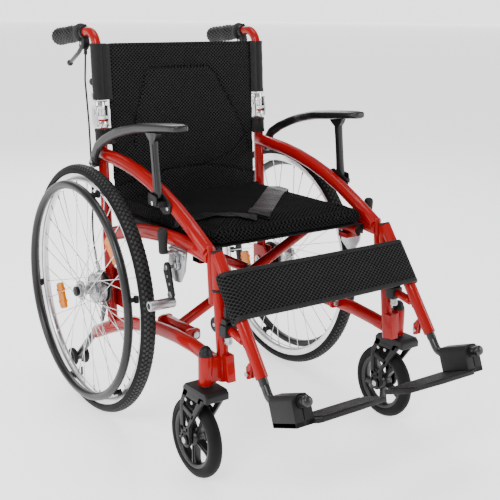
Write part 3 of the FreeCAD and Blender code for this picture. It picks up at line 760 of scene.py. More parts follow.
# ---- upper cane, hinge collar, grip, levers -------------------------------
g = G()
g.tube(yz([(postY(752), 752), (49.3, 918.4), (252, 896.8)], XF), [40], 11.0, segs=32)
both("cane_tube", "cane", g, "red", "back_cane")
g = G()
g.cyl((XF, postY(718), 718), (XF, postY(756), 756), 12.4, 1.6, 40)
g.prism([(44, 757), (51.5, 757), (51.5, 773), (44, 773)], 0, XF - 9, XF + 9, 0.8)
for s in (-1, 1):
    g.prism([(50, 757), (66, 757), (66, 773), (50, 773)], 0, XF + s * 7.5 - 1.5, XF + s * 7.5 + 1.5, 0.5, 2, corner=5)
    g.cyl((XF + s * 9, 60, 765), (XF + s * 10.6, 60, 765), 3.6, 0.5, 20)
g.prism([(postY(756) - 13, 752), (postY(756) + 13, 752), (postY(756) + 14, 758), (postY(756) - 14, 758)], 0, XF - 13, XF + 13, 2.2, 3)
both("cane_collar", "cane", g, "chrome", None)


def on_grip(y):
    return 918.4 + (y - 49.3) * (896.4 - 918.4) / (256 - 49.3)


gd = Vector((0, 256 - 49.3, 896.4 - 918.4)).normalized()
gprof = [(11.2, 124), (21.4, 124), (22.2, 125.2), (22.2, 127.5), (21.2, 129), (19.3, 131.5), (18.4, 136), (18.1, 150), (19.2, 162), (20.4, 175), (20.3, 188), (19.8, 200), (20.0, 212), (20.5, 225), (21.0, 240), (20.8, 250), (19.2, 258), (14.8, 263), (8, 265.4), (0, 266)]
# refine the profile so that the moulded nubs follow it
fine = []
for (r0, s0), (r1, s1) in zip(gprof, gprof[1:]):
    k = max(1, int(round((s1 - s0) / 2.2))) if s1 > s0 and 131 < s0 < 262 else 1
    for j in range(k):
        fine.append((r0 + (r1 - r0) * j / k, s0 + (s1 - s0) * j / k))
fine.append(gprof[-1])
o0 = Vector((XF, 49.3, 918.4))
prof = [(r, (s - 49.3) / gd.y) for r, s in fine]


def nubs(j, k, t):
    s = fine[j][1]
    if 137 < s < 258:
        row = int(s / 8.4)
        return 1.5 * (1 if math.sin(t * 14 + (row % 2) * math.pi) > 0 else -0.35) * (0.5 + 0.5 * math.cos((s / 8.4 - row - 0.5) * 2 * math.pi))
    return 0.0


g = G()
g.lathe(prof, o0, gd, 132, wob=nubs)
both("grip", "cane", g, "grip", "handgrip", angle=60)
g = G()
bz = on_grip(112)
b0, b1 = Vector((XF, 104, on_grip(104))), Vector((XF, 119, on_grip(119)))
g.cyl(b0, b1, 15.2, 1.4, 40, hole=11.1)
g.prism([(101, bz - 12), (122, bz - 13), (127, bz - 34), (116, bz - 42), (106, bz - 40), (97, bz - 24)], 0, XF - 8, XF - 4.6, 1.2, 2, corner=4)
g.prism([(101, bz - 12), (122, bz - 13), (127, bz - 34), (116, bz - 42), (106, bz - 40), (97, bz - 24)], 0, XF + 4.6, XF + 8, 1.2, 2, corner=4)
g.prism([(99, bz - 12), (109, bz - 13), (108, bz - 40), (101, bz - 36), (97, bz - 24)], 0, XF - 7, XF + 7, 1.5, 2, corner=3)
g.cyl((XF + 1, 104, bz - 36), (XF + 4, 99, bz - 52), 4.2, 0.8, 20)
g.cyl((XF - 6, 111, bz + 14.5), (XF + 6, 111, bz + 14.5), 4.4, 0.8, 20)
both("brake_clamp", "cane", g, "plastic", None)
g = G()
g.cyl((XF + 8, 114, bz - 26), (XF + 9.4, 114, bz - 26), 4.4, 0.5, 6)
g.cyl((XF - 9.4, 114, bz - 26), (XF - 8, 114, bz - 26), 4.4, 0.5, 24)
both("brake_clamp_bolt", "cane", g, "zinc", None)
g = G()
g.cyl((XF - 4, 114, bz - 26), (XF + 4, 114, bz - 26), 5.2, 0.6, 24)
g.tube([(XF, 115, bz - 27), (XF, 146, bz - 50.5), (XF, 193, bz - 75)], [60], 0, ell=(5.4, 4.9), segs=20, cap=0.8)
g.ball((XF, 197, bz - 77), 8.0, 28)
both("attendant_brake_lever", "brake_lever", g, "metal_black", "brake_lever")
g = G()
g.cyl((XF - 5.6, 60, 765), (XF + 5.6, 60, 765), 5.0, 0.6, 24)
g.prism([(56.5, 748), (61.5, 748), (63.5, 765), (72, 792), (64, 794), (56.5, 765)], 0, XF - 4, XF + 4, 1.4, 3, corner=3)
g.lathe([(0, -9), (6, -8.6), (8.4, -6), (9, -2), (9, 2), (8.4, 6), (6, 8.6), (0, 9)], (XF, 69, 797), (1, 0, 0), 28)
both("release_lever", "back_release", g, "plastic", "back_release_lever")

# ---- drum brake ------------------------------------------------------------
g = G()
g.lathe([(6.2, 254), (14.5, 250.2), (15, 254.5), (38, 254.6), (40.5, 255.6), (42, 258), (42, 260.5), (6.2, 260.5)], (0, 0, AXZ), (1, 0, 0), 64, closed=True)
g.prism([(-14, 276), (8, 276), (30, 214), (24, 206), (16, 209)], 0, 250.5, 254.0, 0.7, 2, corner=3)
both("drum_plate", "side", g, "metal_black", "drum_brake")
g = G()
g.prism([(16, 332), (30, 324), (46, 354), (42, 362), (34, 362)], 0, 251.0, 254.0, 0.6, 2, corner=2)
g.cyl((209, 0, AXZ), (213.8, 0, AXZ), 11, 1, 6)
g.cyl((206.5, 0, AXZ), (209.5, 0, AXZ), 6.0, 0.8, 24)
g.cyl((249, 40, 356), (256.5, 40, 356), 4, 0.6, 20)
both("drum_arm", "side", g, "zinc", None)
g = G()
g.lathe([(0, 334.0), (5.5, 334), (6.2, 333.0), (6.6, 333.0), (10.5, 333.4), (12, 332.2), (12.2, 328.5), (11, 327.0), (6.2, 327)], (0, 0, AXZ), (1, 0, 0), 40)
both("axle_button", "side", g, "plastic", None)

# ---- rear wheel ------------------------------------------------------------
XW = 293.5
C0 = (0, 0, AXZ)
g = G()
# carcass: rounded section
prof = []
for i in range(29):
    a = math.radians(-118 + 236 * i / 28)
    prof.append((288.0 + 16.6 * math.cos(a), XW + 16.9 * math.sin(a)))
prof = [(283.0, XW - 11.8)] + [p for p in prof if p[0] > 283.2] + [(283.0, XW + 11.8)]
g.lathe(prof, C0, (1, 0, 0), 168, closed=True)
both("tyre_carcass", "wheel", g, "tyre", "tyre", angle=50)
# tread: blocks of the centre band and the two shoulders
g = G()
NB = 150


def tread_block(x0, x1, r_lo, r_hi0, r_hi1, t0, t1, skew=0.0):
    vs = []
    for (t, k) in ((t0, 0), (t1, 1)):
        for (x, rh) in ((x0, r_hi0), (x1, r_hi1)):
            tt = t + skew * (1 if x == x1 else -1)
            for r in (r_lo, rh):
                e = 0.0009 if r == rh else 0.0
                te = tt + (e if k == 0 else -e)
                vs.append((x, r * math.sin(te), AXZ + r * math.cos(te)))
    # order: t0:(x0 lo,x0 hi,x1 lo,x1 hi), t1 same
    return vs, [(0, 2, 3, 1), (4, 5, 7, 6), (1, 3, 7, 5), (0, 1, 5, 4), (2, 6, 7, 3)]


for i in range(NB):
    t = 2 * math.pi * i / NB
    w = 2 * math.pi / NB
    for x0, x1, r0, r1, ofs, cov, sk in ((-3.1, 3.1, 304.9, 304.9, 0.0, 0.62, 0.0022), (-9.6, -4.6, 302.6, 304.2, 0.5, 0.6, 0.004), (4.6, 9.6, 304.2, 302.6, 0.5, 0.6, -0.004),
                                         (-14.4, -11.0, 297.8, 301.4, 0.0, 0.5, 0.0), (11.0, 14.4, 301.4, 297.8, 0.0, 0.5, 0.0)):
        vs, fs = tread_block(XW + x0, XW + x1, 294.0, r0, r1, t + w * ofs, t + w * (ofs + cov), sk)
        g.add(vs, fs)
# tread blocks use the lighter copy of the tyre rubber, a painted highlight
both("tyre_tread", "wheel", g, "tread", None, angle=25)
g = G()
rim = [(265.0, -5.5), (264.2, 0), (265.0, 5.5), (267.5, 8.6), (272.5, 10.6), (280.0, 11.2), (284.2, 12.4), (285.4, 12.0), (285.0, 11.0), (281.5, 9.6), (277, 8), (277, -8), (281.5, -9.6), (285.0, -11.0), (285.4, -12.0), (284.2, -12.4), (280.0, -11.2), (272.5, -10.6), (267.5, -8.6)]
g.lathe([(r, XW + x) for r, x in rim], C0, (1, 0, 0), 144, closed=True)
both("rim_hoop", "wheel", g, "rim", "rim", angle=60)
# hub
g = G()
hubp = [(6.3, 326), (13, 326), (15.4, 325), (16, 322), (16, 319.4), (22, 318.6), (24.6, 318), (25, 316.8), (24.8, 315.4), (17, 314.6), (12.8, 310), (12.2, 300), (12.8, 290), (17, 285.4), (32, 284.6), (34, 283.6), (34, 281.6), (37.4, 280.8), (38, 279), (38, 263.5), (37, 262), (8, 262), (6.3, 262)]
g.lathe(hubp, C0, (1, 0, 0), 72, closed=True)
both("hub_shell", "wheel", g, "zinc", "hub_spokes", angle=35)
# spokes with nipples
g = G()
nip = G()
for i in range(36):
    inner = i % 2 == 0
    r0, xf = (30.0, 282.8) if inner else (21.6, 316.6)
    a = 2 * math.pi * i / 36
    lead = math.radians(62) * (1 if (i // 2) % 2 == 0 else -1)
    a0 = a + lead
    p = Vector((xf + (1.8 if (i // 2) % 2 == 0 else -1.8), r0 * math.sin(a0), AXZ + r0 * math.cos(a0)))
    q = Vector((XW + (-2.4 if inner else 2.4), 266.5 * math.sin(a), AXZ + 266.5 * math.cos(a)))
    g.cyl(p, q, 1.0, 0.2, 8)
    d = (p - q).normalized()
    nip.cyl(q - d * 1, q + d * 13, 1.9, 0.4, 8)
    hx = 1 if (i // 2) % 2 == 0 else -1
    nip.cyl((xf + hx * 1.2, p.y, p.z), (xf + hx * 3.6, p.y, p.z), 2.2, 0.5, 10)
both("spokes_wire", "wheel", g, "spoke", None)
both("spoke_nipples", "wheel", nip, "chrome", None)
# amber reflectors clipped across two spokes
g = G()
base = G()
for a in (45, 250):
    s = G()
    s.prism([(-31, 162), (31, 162), (34, 170), (34, 186), (30, 195), (-30, 195), (-34, 186), (-34, 170)], 0, XW - 4.2, XW + 4.2, 1.6, 3, corner=5)
    g.merged(s.turned((0, 0, 0), (1, 0, 0), a))
    c = G()
    for cx in (-15.7, 15.7):
        c.prism([(cx - 3.4, 160), (cx + 3.4, 160), (cx + 3.4, 167), (cx - 3.4, 167)], 0, XW - 5.2, XW + 5.2, 1.0, 2)
        c.prism([(cx - 3.4, 190), (cx + 3.4, 190), (cx + 3.4, 196.5), (cx - 3.4, 196.5)], 0, XW - 5.2, XW + 5.2, 1.0, 2)
    base.merged(c.turned((0, 0, 0), (1, 0, 0), a))
for q in (g, base):
    q.v = [(x, y, z + AXZ) for x, y, z in q.v]
g.merged(base)
both("reflectors", "wheel", g, "amber", None)
# handrim
g = G()
pr = [(259.0 + 10 * math.cos(2 * math.pi * i / 24), 326.5 + 10 * math.sin(2 * math.pi * i / 24)) for i in range(24)]
g.lathe(pr, C0, (1, 0, 0), 160, closed=True)
both("handrim_tube", "wheel", g, "gloss", "handrim", angle=80)
g = G()
for i in range(6):
    s = G()
    a = 20 + 60 * i
    s.prism([(-9, 262.5), (9, 262.5), (8, 276.5), (-8, 276.5)], 0, 306.1, 312.5, 1.2, 2, corner=3)
    s.prism([(-5.5, 262.5), (5.5, 262.5), (5, 272), (-5, 272)], 0, 311.5, 324, 1.4, 2, corner=2)
    g.merged(s.turned((0, 0, 0), (1, 0, 0), a))
g.v = [(x, y, z + AXZ) for x, y, z in g.v]
both("handrim_standoffs", "wheel", g, "plastic", None)
g = G()
s = G()
s.cyl((XW - 1, 0, 255), (XW + 1, -1, 232), 2.6, 0.6, 14)
g.merged(s.turned((0, 0, 0), (1, 0, 0), 195))
g.v = [(x, y, z + AXZ) for x, y, z in g.v]
both("valve", "wheel", g, "rubber", None)

# ---- brake cable -------------------------------------------------------------
g = G()
g.tube([(XF + 3, 101, bz - 48), (XF + 9, 96, 800), (XF + 9, 83, 700), (XF + 9, 75, 560), (XF + 18, 64, 420), (XF + 20.5, 43, 362)], [80, 150, 250, 200, 40], 2.2, segs=14, cap=0.3)
for side, mir in (("left", False), ("right", True)):
    o = g.obj("cable_" + side, M["cable"], mir)
    # more rings where it crosses the hinge
    bm = bmesh.new()
    bm.from_mesh(o.data)
    for _ in range(3):
        es = [e for e in bm.edges if e.calc_length() > 0.012]
        bmesh.ops.subdivide_edges(bm, edges=es, cuts=1)
    bm.to_mesh(o.data)
    bm.free()
    o.data.shade_smooth()
    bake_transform(o)
    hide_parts("brake_cable_" + side)
g = G()
g.cyl((XF + 20.4, 46, 370), (XF + 20.6, 50, 386), 3.4, 0.6, 18)
both("cable_ferrule", "side", g, "zinc", None)

# ---- casters ---------------------------------------------------------------------
cx, cy, cwy, cwz = 272.0, -488.0, -451.0, 89.0
g = G()
g.prism([(cy - 46, 198), (cy - 46, 212), (cy - 38, 219.6), (cy + 36, 219.6), (cy + 46, 210), (cy + 46, 198)], 0, cx - 28, cx + 28, 3.0, 3)
armp = [(cy - 40, 206), (cy + 40, 206), (cy + 58, 170), (cy + 57, 128), (cwy + 17, 84), (cwy + 8, 73), (cwy - 8, 73), (cwy - 17, 86), (cwy - 12, 128), (cy + 6, 150), (cy - 22, 184)]
for s in (-1, 1):
    a, b = (cx - 28, cx - 21) if s < 0 else (cx + 21, cx + 28)
    # two rails and rungs leave the ladder windows open
    g.prism([(cy - 40, 206), (cy - 18, 206), (cy + 14, 150), (cwy - 2, 118), (cwy - 4, 80), (cwy - 16, 82), (cwy - 15, 122), (cy + 4, 148), (cy - 24, 186)], 0, a, b, 1.2, 2, corner=5)
    g.prism([(cy + 24, 206), (cy + 42, 206), (cy + 58, 170), (cy + 57, 130), (cwy + 16, 84), (cwy + 2, 78), (cwy + 6, 92), (cy + 45, 132), (cy + 46, 166)], 0, a, b, 1.2, 2, corner=5)
    g.prism([(cy - 20, 190), (cy + 48, 190), (cy + 44, 202), (cy - 26, 202)], 0, a, b, 1.0, 2, corner=2)
    g.prism([(cy + 8, 144), (cy + 50, 158), (cy + 48, 168), (cy + 4, 156)], 0, a, b, 1.0, 2, corner=2)
    g.prism([(cwy - 10, 108), (cwy + 16, 108), (cwy + 20, 118), (cwy - 10, 118)], 0, a, b, 1.0, 2, corner=2)
    g.cyl((a, cwy, cwz), (b, cwy, cwz), 17, 1.2, 32)
    sx = cx + s * 28
    g.cyl((sx, cwy, cwz), (sx + s * 2.6, cwy, cwz), 11, 0.8, 32)
both("caster_fork_body", "caster_fork", g, "plastic", "caster_fork")
g = G()
for s in (-1, 1):
    sx = cx + s * 28.0
    g.cyl((sx, cy + 9, 184), (sx + s * 2.0, cy + 9, 184), 4.0, 0.8, 20)
    g.cyl((sx, cy + 32, 184), (sx + s * 2.0, cy + 32, 184), 4.0, 0.8, 20)
    g.cyl((sx + s * 2.6, cwy, cwz), (sx + s * 4.8, cwy, cwz), 7.5, 1.0, 6)
g.cyl((cx, cy, 218.6), (cx, cy, 221.7), 11, 0.6, 32)
both("caster_screws", "caster_fork", g, "zinc", None)
g = G()
ty = [(66.5, -12.4), (72, -14.2), (80, -13.4), (86, -9.4), (88.4, -4.2), (88.95, 0), (88.4, 4.2), (86, 9.4), (80, 13.4), (72, 14.2), (66.5, 12.4), (65, 8), (65, -8)]
g.lathe([(r, cx + x) for r, x in ty], (0, cwy, cwz), (1, 0, 0), 96, closed=True)
both("caster_tyre", "caster_wheel", g, "tyre", "caster_wheel", angle=60)
g = G()
rimp = [(65.4, -9), (66.6, -12.2), (64.0, -12.6), (59, -10.2), (57.5, -8), (57.5, 8), (59, 10.2), (64.0, 12.6), (66.6, 12.2), (65.4, 9)]
g.lathe([(r, cx + x) for r, x in rimp], (0, cwy, cwz), (1, 0, 0), 80, closed=True)
g.lathe([(5.3, cx - 17), (12, cx - 17), (14, cx - 15.5), (17.5, cx - 11), (19, cx - 8), (19, cx + 8), (17.5, cx + 11), (14, cx + 15.5), (12, cx + 17), (5.3, cx + 17)], (0, cwy, cwz), (1, 0, 0), 48, closed=True)
for i in range(5):
    s = G()
    s.prism([(-6.5, 15), (6.5, 15), (4.4, 38), (9, 60), (-9, 60), (-4.4, 38)], 0, cx - 8, cx + 8, 1.8, 3)
    s.prism([(-2.2, 18), (2.2, 18), (2.2, 58), (-2.2, 58)], 0, cx - 10.5, cx + 10.5, 1.0, 2)
    t = s.turned((0, 0, 0), (1, 0, 0), 36 + 72 * i)
    t.v = [(x, y + cwy, z + cwz) for x, y, z in t.v]
    g.merged(t)
both("caster_centre", "caster_wheel", g, "gloss", None)

# ---- footrest hanger ---------------------------------------------------------------
dd = Vector((0, -160, -216)).normalized()
top = Vector((XF, -470, 490))
n_up = Vector((0, -0.804, 0.595))
g = G()
g.cyl((XF, hangY(416.6), 416.6), (XF, hangY(492), 492), 12.5, 1.0, 36)
g.tube([top, (XF, -630, 274)], [], 13.0, segs=36, cap=1.0)
g.prism([(hangY(486) - 4, 486), (hangY(420) - 8, 422), (-520, 420)], 0, XF - 4, XF + 4, 1.0, 2)
g.tube([(XF, -566, 332), (XF, -522, 340.5)], [], 9.5, segs=28, cap=0.6)
for s in (-1, 1):
    g.prism([(-596, 262), (-584, 258), (-582, 284), (-600, 306)], 0, XF + s * 4.2 - 1.6, XF + s * 4.2 + 1.6, 0.7, 2, corner=2)
bead(g, tube_joint(top, dd, 13.2, (XF, -554, 334.5), (0, -1, -0.2), 9.5, 9.5), 1.4)
both("hanger_tube", "hanger", g, "red", "footrest_hanger")
g = G()
g.lathe([(0, 0), (11.6, 0), (12.6, 0.8), (12.9, 2.2), (11.6, 3.6), (0, 4.4)], top, -dd, 36)
g.lathe([(0, 0), (10.2, 0), (11.8, 0.8), (11.4, 2.0), (9, 3.0), (0, 3.2)], (XF, hangY(491.6), 491.6), (0, 0.113, 1), 32)
both("hanger_caps", "hanger", g, "plastic", None)
g = G()
g.prism([(-523, 326), (-498.6, 326), (-498.6, 350), (-505, 352), (-523, 352)], 0, XF - 15, XF + 15, 2.2, 3)
g.prism([(-520, 345), (-502, 345), (-502, 364), (-520, 364)], 0, XF - 12, XF - 8.4, 0.8, 2, corner=4)
g.prism([(-520, 345), (-502, 345), (-502, 364), (-520, 364)], 0, XF + 8.4, XF + 12, 0.8, 2, corner=4)
both("hanger_latch_block", "hanger", g, "plastic", None)
g = G()
g.cyl((XF, -512, 308.5), (XF, -512, 326.5), 8.0, 1.2, 28)
g.cyl((XF, -512, 312), (XF, -512, 315), 8.8, 0.8, 28)
g.cyl((XF + 8, -590, 272), (XF + 12, -590, 272), 5.2, 0.8, 6)
g.cyl((XF - 11, -590, 272), (XF - 5.5, -590, 272), 4.2, 0.8, 20)
both("hanger_metal", "hanger", g, "zinc", None)
g = G()
g.cyl((XF - 8, -511, 358), (XF + 8, -511, 358), 6.0, 0.6, 24)
g.prism([(-515, 356), (-507, 356), (-504, 386), (-507, 390), (-512, 390)], 0, XF - 7, XF + 7, 1.6, 3)
both("latch_lever", "hanger_latch", g, "plastic", "hanger_latch")

# ---- leg tube, footplate ---------------------------------------------------------------
Q = Vector((XF, -658.6, 235.5))
AX = Vector((0, -0.9338, 0.3579))
AN = Vector((0, 0.3579, 0.9338))
foot_end = Vector((XF, -630, 274))
g = G()
g.cyl(foot_end - dd * 90, foot_end + dd * 14, 9.9, 0.8, 32)
g.tube([foot_end + dd * 6, Q, Q + AX * 30], [22], 9.0, segs=28, cap=0.5)
g.cyl(Q + AX * 20, Q + AX * 114, 9.0, 0.5, 32)
g.lathe([(0, 126), (6, 125.6), (9.2, 124), (11, 120.5), (11, 114.5), (10, 112.4), (8.8, 112)], Q, AX, 36)
both("leg_tube", "leg", g, "metal_black", "footrest_leg")
g = G()
g.lathe([(9.05, 22), (12.5, 22), (12.5, 102), (9.05, 102)], Q, AX, 36, closed=True)
both("plate_bush", "bush", g, "plastic", "footplate_bush")
AXES = (AX, Vector((1, 0, 0)), AN)
g = G()
hp = [(-22, -46), (22, -46), (22, 6), (16, 15), (-16, 15), (-22, 6)]
# housing block with a bore for the spindle
bore = [(12.75 * math.sin(math.radians(a)), -12.75 * math.cos(math.radians(a))) for a in range(355, 0, -10)]
g.prism([(0.4, -46), (22, -46), (22, 3), (19.5, 8), (13.5, 14.2), (-13.5, 14.2), (-19.5, 8), (-22, 3), (-22, -46), (-0.4, -46)] + bore, 0, 23, 100, 1.6, 3, origin=Q, axes=AXES)
g.prism([(-22, -46), (22, -46), (22, -34.8), (-22, -34.8)], 0, 23, 100, 1.6, 3, origin=Q, axes=AXES)
g.prism([(-15, -40), (15, -40), (15, -16), (-15, -16)], 0, 21.6, 24, 0.8, 2, origin=Q, axes=AXES)
# plate: outline in (s along the spindle, x), thickness along the normal


def plate(g, pts, n0, n1, bev, corner=0.0, seg=3):
    g.prism([(dx, s) for s, dx in pts], 0, n0, n1, bev, seg, corner=corner, origin=Q, axes=(AN, Vector((1, 0, 0)), AX))


outline = [(23, -18), (20, -120), (26, -200), (34, -207), (96, -207), (106, -199), (116, -120), (118, -18)]
plate(g, outline, -46, -37.2, 2.6, 12)
# raised rim and tread ribs
for i in range(9):
    s0 = 31.5 + i * 9.2
    taper = 6 if i in (0, 8) else 0
    plate(g, [(s0, -34), (s0, -196 + taper), (s0 + 4.6, -198 + taper), (s0 + 4.6, -34)], -38.0, -35.2, 1.0, 1.2, 2)
for i in range(5):
    x0 = -40 - i * 36
    plate(g, [(28, x0), (28, x0 - 2.4), (112, x0 - 2.4), (112, x0)], -38, -36.0, 0.5, 0, 1)
both("footplate_moulding", "footplate", g, "foot", "footplate", angle=32)

# ---- armrest ------------------------------------------------------------------------------
g = G()


def loft(g, sections, segs=32, power=2.6, caps=True):
    """sections: (centre, u, v, half_u, half_v): superellipse rings."""
    rows = []
    for c, u, v, a, b in sections:
        c, u, v = Vector(c), Vector(u), Vector(v)
        row = []
        for k in range(segs):
            t = 2 * math.pi * k / segs
            ct, st = math.cos(t), math.sin(t)
            row.append(c + u * (a * math.copysign(abs(ct) ** (2 / power), ct)) + v * (b * math.copysign(abs(st) ** (2 / power), st)))
        rows.append(row)
    verts = [p for row in rows for p in row]
    faces = []
    for i in range(len(rows) - 1):
        for k in range(segs):
            a0, a1 = i * segs + k, i * segs + (k + 1) % segs
            faces.append((a0, a1, a1 + segs, a0 + segs))
    if caps:
        verts += [sum(rows[0], Vector()) / segs, sum(rows[-1], Vector()) / segs]
        n0 = len(rows) * segs
        for k in range(segs):
            faces.append((n0, (k + 1) % segs, k))
            faces.append((n0 + 1, (len(rows) - 1) * segs + k, (len(rows) - 1) * segs + (k + 1) % segs))
    g.add(verts, faces)


def arm_line(s):
    """Centre line, half width and half height of the pad and its tail, s from 0 at the tip to 1 at the pivot."""
    key = [(0.000, 244, -358.5, 731.0, 4, 2.0), (0.010, 244, -357.0, 731.2, 13, 6.5), (0.03, 244, -352, 731.0, 18, 8.4), (0.07, 244, -338, 730.4, 20.6, 9.2), (0.16, 244, -300, 727.0, 21, 10.0), (0.30, 244.5, -242, 721.0, 20, 10.6),
           (0.42, 247, -190, 715.5, 17, 10.8), (0.54, 252.5, -135, 704.5, 12.0, 10.8), (0.62, 257.3, -98, 695.5, 7.8, 10.8), (0.68, 257.6, -72, 687, 7.2, 11), (0.78, 257.4, -30, 670.5, 6.9, 11.4), (0.88, 257, 6, 650.5, 6.7, 12), (0.95, 256.9, 22, 630, 6.5, 13), (1.0, 256.8, 25, 612, 6.3, 13)]
    for a, b in zip(key, key[1:]):
        if s <= b[0]:
            t = (s - a[0]) / (b[0] - a[0])
            return [a[i] + (b[i] - a[i]) * t for i in range(1, 6)]
    return list(key[-1][1:])


ss = [0, 0.004, 0.01, 0.018, 0.03, 0.045] + [0.06 + i * 0.02 for i in range(47)] + [1.0]
secs = []
for i, s in enumerate(ss):
    x, y, z, a, b = arm_line(s)
    x1, y1, z1, _, _ = arm_line(min(1, s + 0.015))
    x0, y0, z0, _, _ = arm_line(max(0, s - 0.015))
    t = Vector((0, y1 - y0, z1 - z0)).normalized()
    secs.append(((x, y, z), (1, 0, 0), Vector((1, 0, 0)).cross(t), a, b))
loft(g, secs, 40, 3.0)
g.cyl(Vector((252, 25, 612)) + ad * 2.4, Vector((252, 25, 612)) - ad * 12.0, 13.0, 1.6, 36)
both("armrest_pad", "armrest", g, "gloss", "armrest", angle=60)
g = G()
secs = []
for t in (0, 0.04, 0.15, 0.3, 0.45, 0.6, 0.75, 0.88, 0.97, 1.0):
    e = 0.75 if t in (0, 1.0) else 1.0
    w = 6.2 + 0.8 * abs(t - 0.4)
    secs.append(((258.5 - 1.0 * t * 0, -262 - 17 * t, 714 - 140 * t), (1, 0, 0), Vector((1, 0, 0)).cross(Vector((0, -17, -140)).normalized()), w * e, (11.2 - 1.6 * math.sin(math.pi * t)) * e))
loft(g, secs, 28, 4.0)
g.prism([(-286, 716), (-236, 712), (-246, 702), (-258, 694), (-272, 694), (-280, 704)], 0, 251, 264, 2.4, 3, corner=3)
g.prism([(-271, 690), (-263, 690), (-277, 590), (-283, 590)], 0, 264.6, 266.2, 0.6, 2)
both("armrest_strut", "armrest", g, "gloss", None)
g = G()
g.prism([(-315, 546), (-290, 540), (-252, 566), (-246, 586), (-262, 592), (-300, 580), (-318, 566)], 0, 247.9, 251.3, 1.0, 2, corner=6)
g.prism([(-302, 559), (-261, 559), (-261, 570.6), (-302, 570.6)], 0, 249, 270, 2.0, 3, corner=3)
g.prism([(-297, 560), (-265, 560), (-266, 586), (-294, 582)], 0, 269.6, 273, 1.0, 2, corner=6)
g.prism([(-265.4, 560), (-261, 560), (-261, 586), (-265.4, 586)], 0, 249, 273, 1.2, 2)
both("strut_socket", "side", g, "plastic", "armrest_socket")
g = G()
for y, z, x in ((-281, 566, 273), (-307, 556, 251.3)):
    g.cyl((x, y, z), (x + 2.6, y, z), 5.0, 1.0, 24)
    g.cyl((x + 2.4, y, z), (x + 3.0, y, z), 2.4, 0.2, 6)
both("socket_bolts", "side", g, "chrome", None)

# ---- wheel lock ---------------------------------------------------------------------------------
g = G()
g.prism([(-378, 478), (-312, 478), (-304, 440), (-306, 418), (-330, 400), (-352, 402), (-370, 430)], 0, 244.9, 249.5, 0.8, 2, corner=6)
g.prism([(-376, 470), (-316, 470), (-316, 476), (-376, 476)], 0, 245.5, 256.5, 0.8, 2)
for y, z in ((-366, 460), (-322, 460)):
    g.cyl((249.2, y, z), (252.2, y, z), 5.0, 0.9, 24)
for y, z, x in ((-345, 440, 257.8), (-318, 430, 264.4)):
    g.cyl((249, y, z), (x - 1.6, y, z), 3.9, 0.2, 20)
    g.cyl((x - 1.4, y, z), (x + 1.0, y, z), 6.0, 0.8, 24)
both("lock_mount", "side", g, "zinc", "lock_bracket")
g = G()
g.cyl((250.2, -345, 440), (255.9, -345, 440), 11, 0.8, 32, hole=4.1)
g.prism([(-350.5, 446), (-338.5, 446), (-343, 472), (-355, 474)], 0, 250.2, 255.9, 1.0, 2, corner=3)
g.tube([(253, -349, 462), (262, -350, 472), (285, -350, 474), (289, -350, 494)], [10, 12], 4.6, segs=18, cap=0.5)
both("lock_handle_bar", "lock_lever", g, "zinc", "lock_lever")
g = G()
g.lathe([(4.6, -1), (8.0, -1), (9.4, 1), (9.8, 6), (9.6, 14), (9.9, 24), (10.8, 34), (11.2, 42), (10.8, 48), (9.0, 52), (5.5, 54.2), (0, 55)], (288.2, -350, 473.5), Vector((2.2, 0, 54)), 36)
both("lock_grip", "lock_lever", g, "rubber", None)
g = G()
g.prism([(-331, 428), (-306, 432), (-304, 420), (-325, 372), (-338, 364), (-347, 372)], 0, 257.6, 262.9, 1.0, 2, corner=5)
g.cyl((257.5, -318, 430), (263, -318, 430), 12, 0.8, 32, hole=4.1)
both("lock_link", "lock_shoe", g, "plastic", "lock_shoe")
g = G()
g.cyl((257.6, -340, 358), (319.6, -340, 358), 11.4, 1.6, 36, hole=6.5)
g.cyl((262, -340, 358), (312, -340, 358), 6.6, 0.3, 24)
g.prism([(-350, 360), (-334, 352), (-322, 372), (-333, 382)], 0, 256.9, 264.5, 0.9, 2, corner=3)
for y, z in ((-322, 411), (-331, 396)):
    g.cyl((262.8, y, z), (264.6, y, z), 3.6, 0.6, 20)
both("lock_roller", "lock_shoe", g, "zinc", None)

# ---- anti-tip arm ------------------------------------------------------------------------------------
g = G()
g.tube(yz([(57.6, 172.0), (110, 147.3), (214, 50)], XF), [60], 9.4, segs=28)
g.cyl((XF - 6, 214, 50), (XF + 6, 214, 50), 12, 1.2, 32)
both("anti_tip_tube", "side", g, "metal_black", "anti_tip_arm")
g = G()
for s in (-1, 1):
    g.cyl((XF + s * 21.2, 214, 50), (XF + s * 24, 214, 50), 6.2, 0.8, 6)
g.cyl((XF - 22, 214, 50), (XF + 22, 214, 50), 3.9, 0.3, 20)
both("anti_tip_bolt", "side", g, "zinc", None)
g = G()
for s in (-1, 1):
    a = XF + (9.9 if s > 0 else -22.5)
    g.lathe([(4.1, a), (9, a), (10, a + 1.4), (18, a + 2.2), (21.5, a + 0.6), (23.6, a + 2.6), (24, a + 5), (24, a + 7.6), (23.6, a + 10), (21.5, a + 12), (18, a + 10.4), (10, a + 11.2), (9, a + 12.6), (4.1, a + 12.6)], (0, 214, 50), (1, 0, 0), 48, closed=True)
both("anti_tip_roller", "anti_tip_wheels", g, "rubber", "anti_tip_wheels")

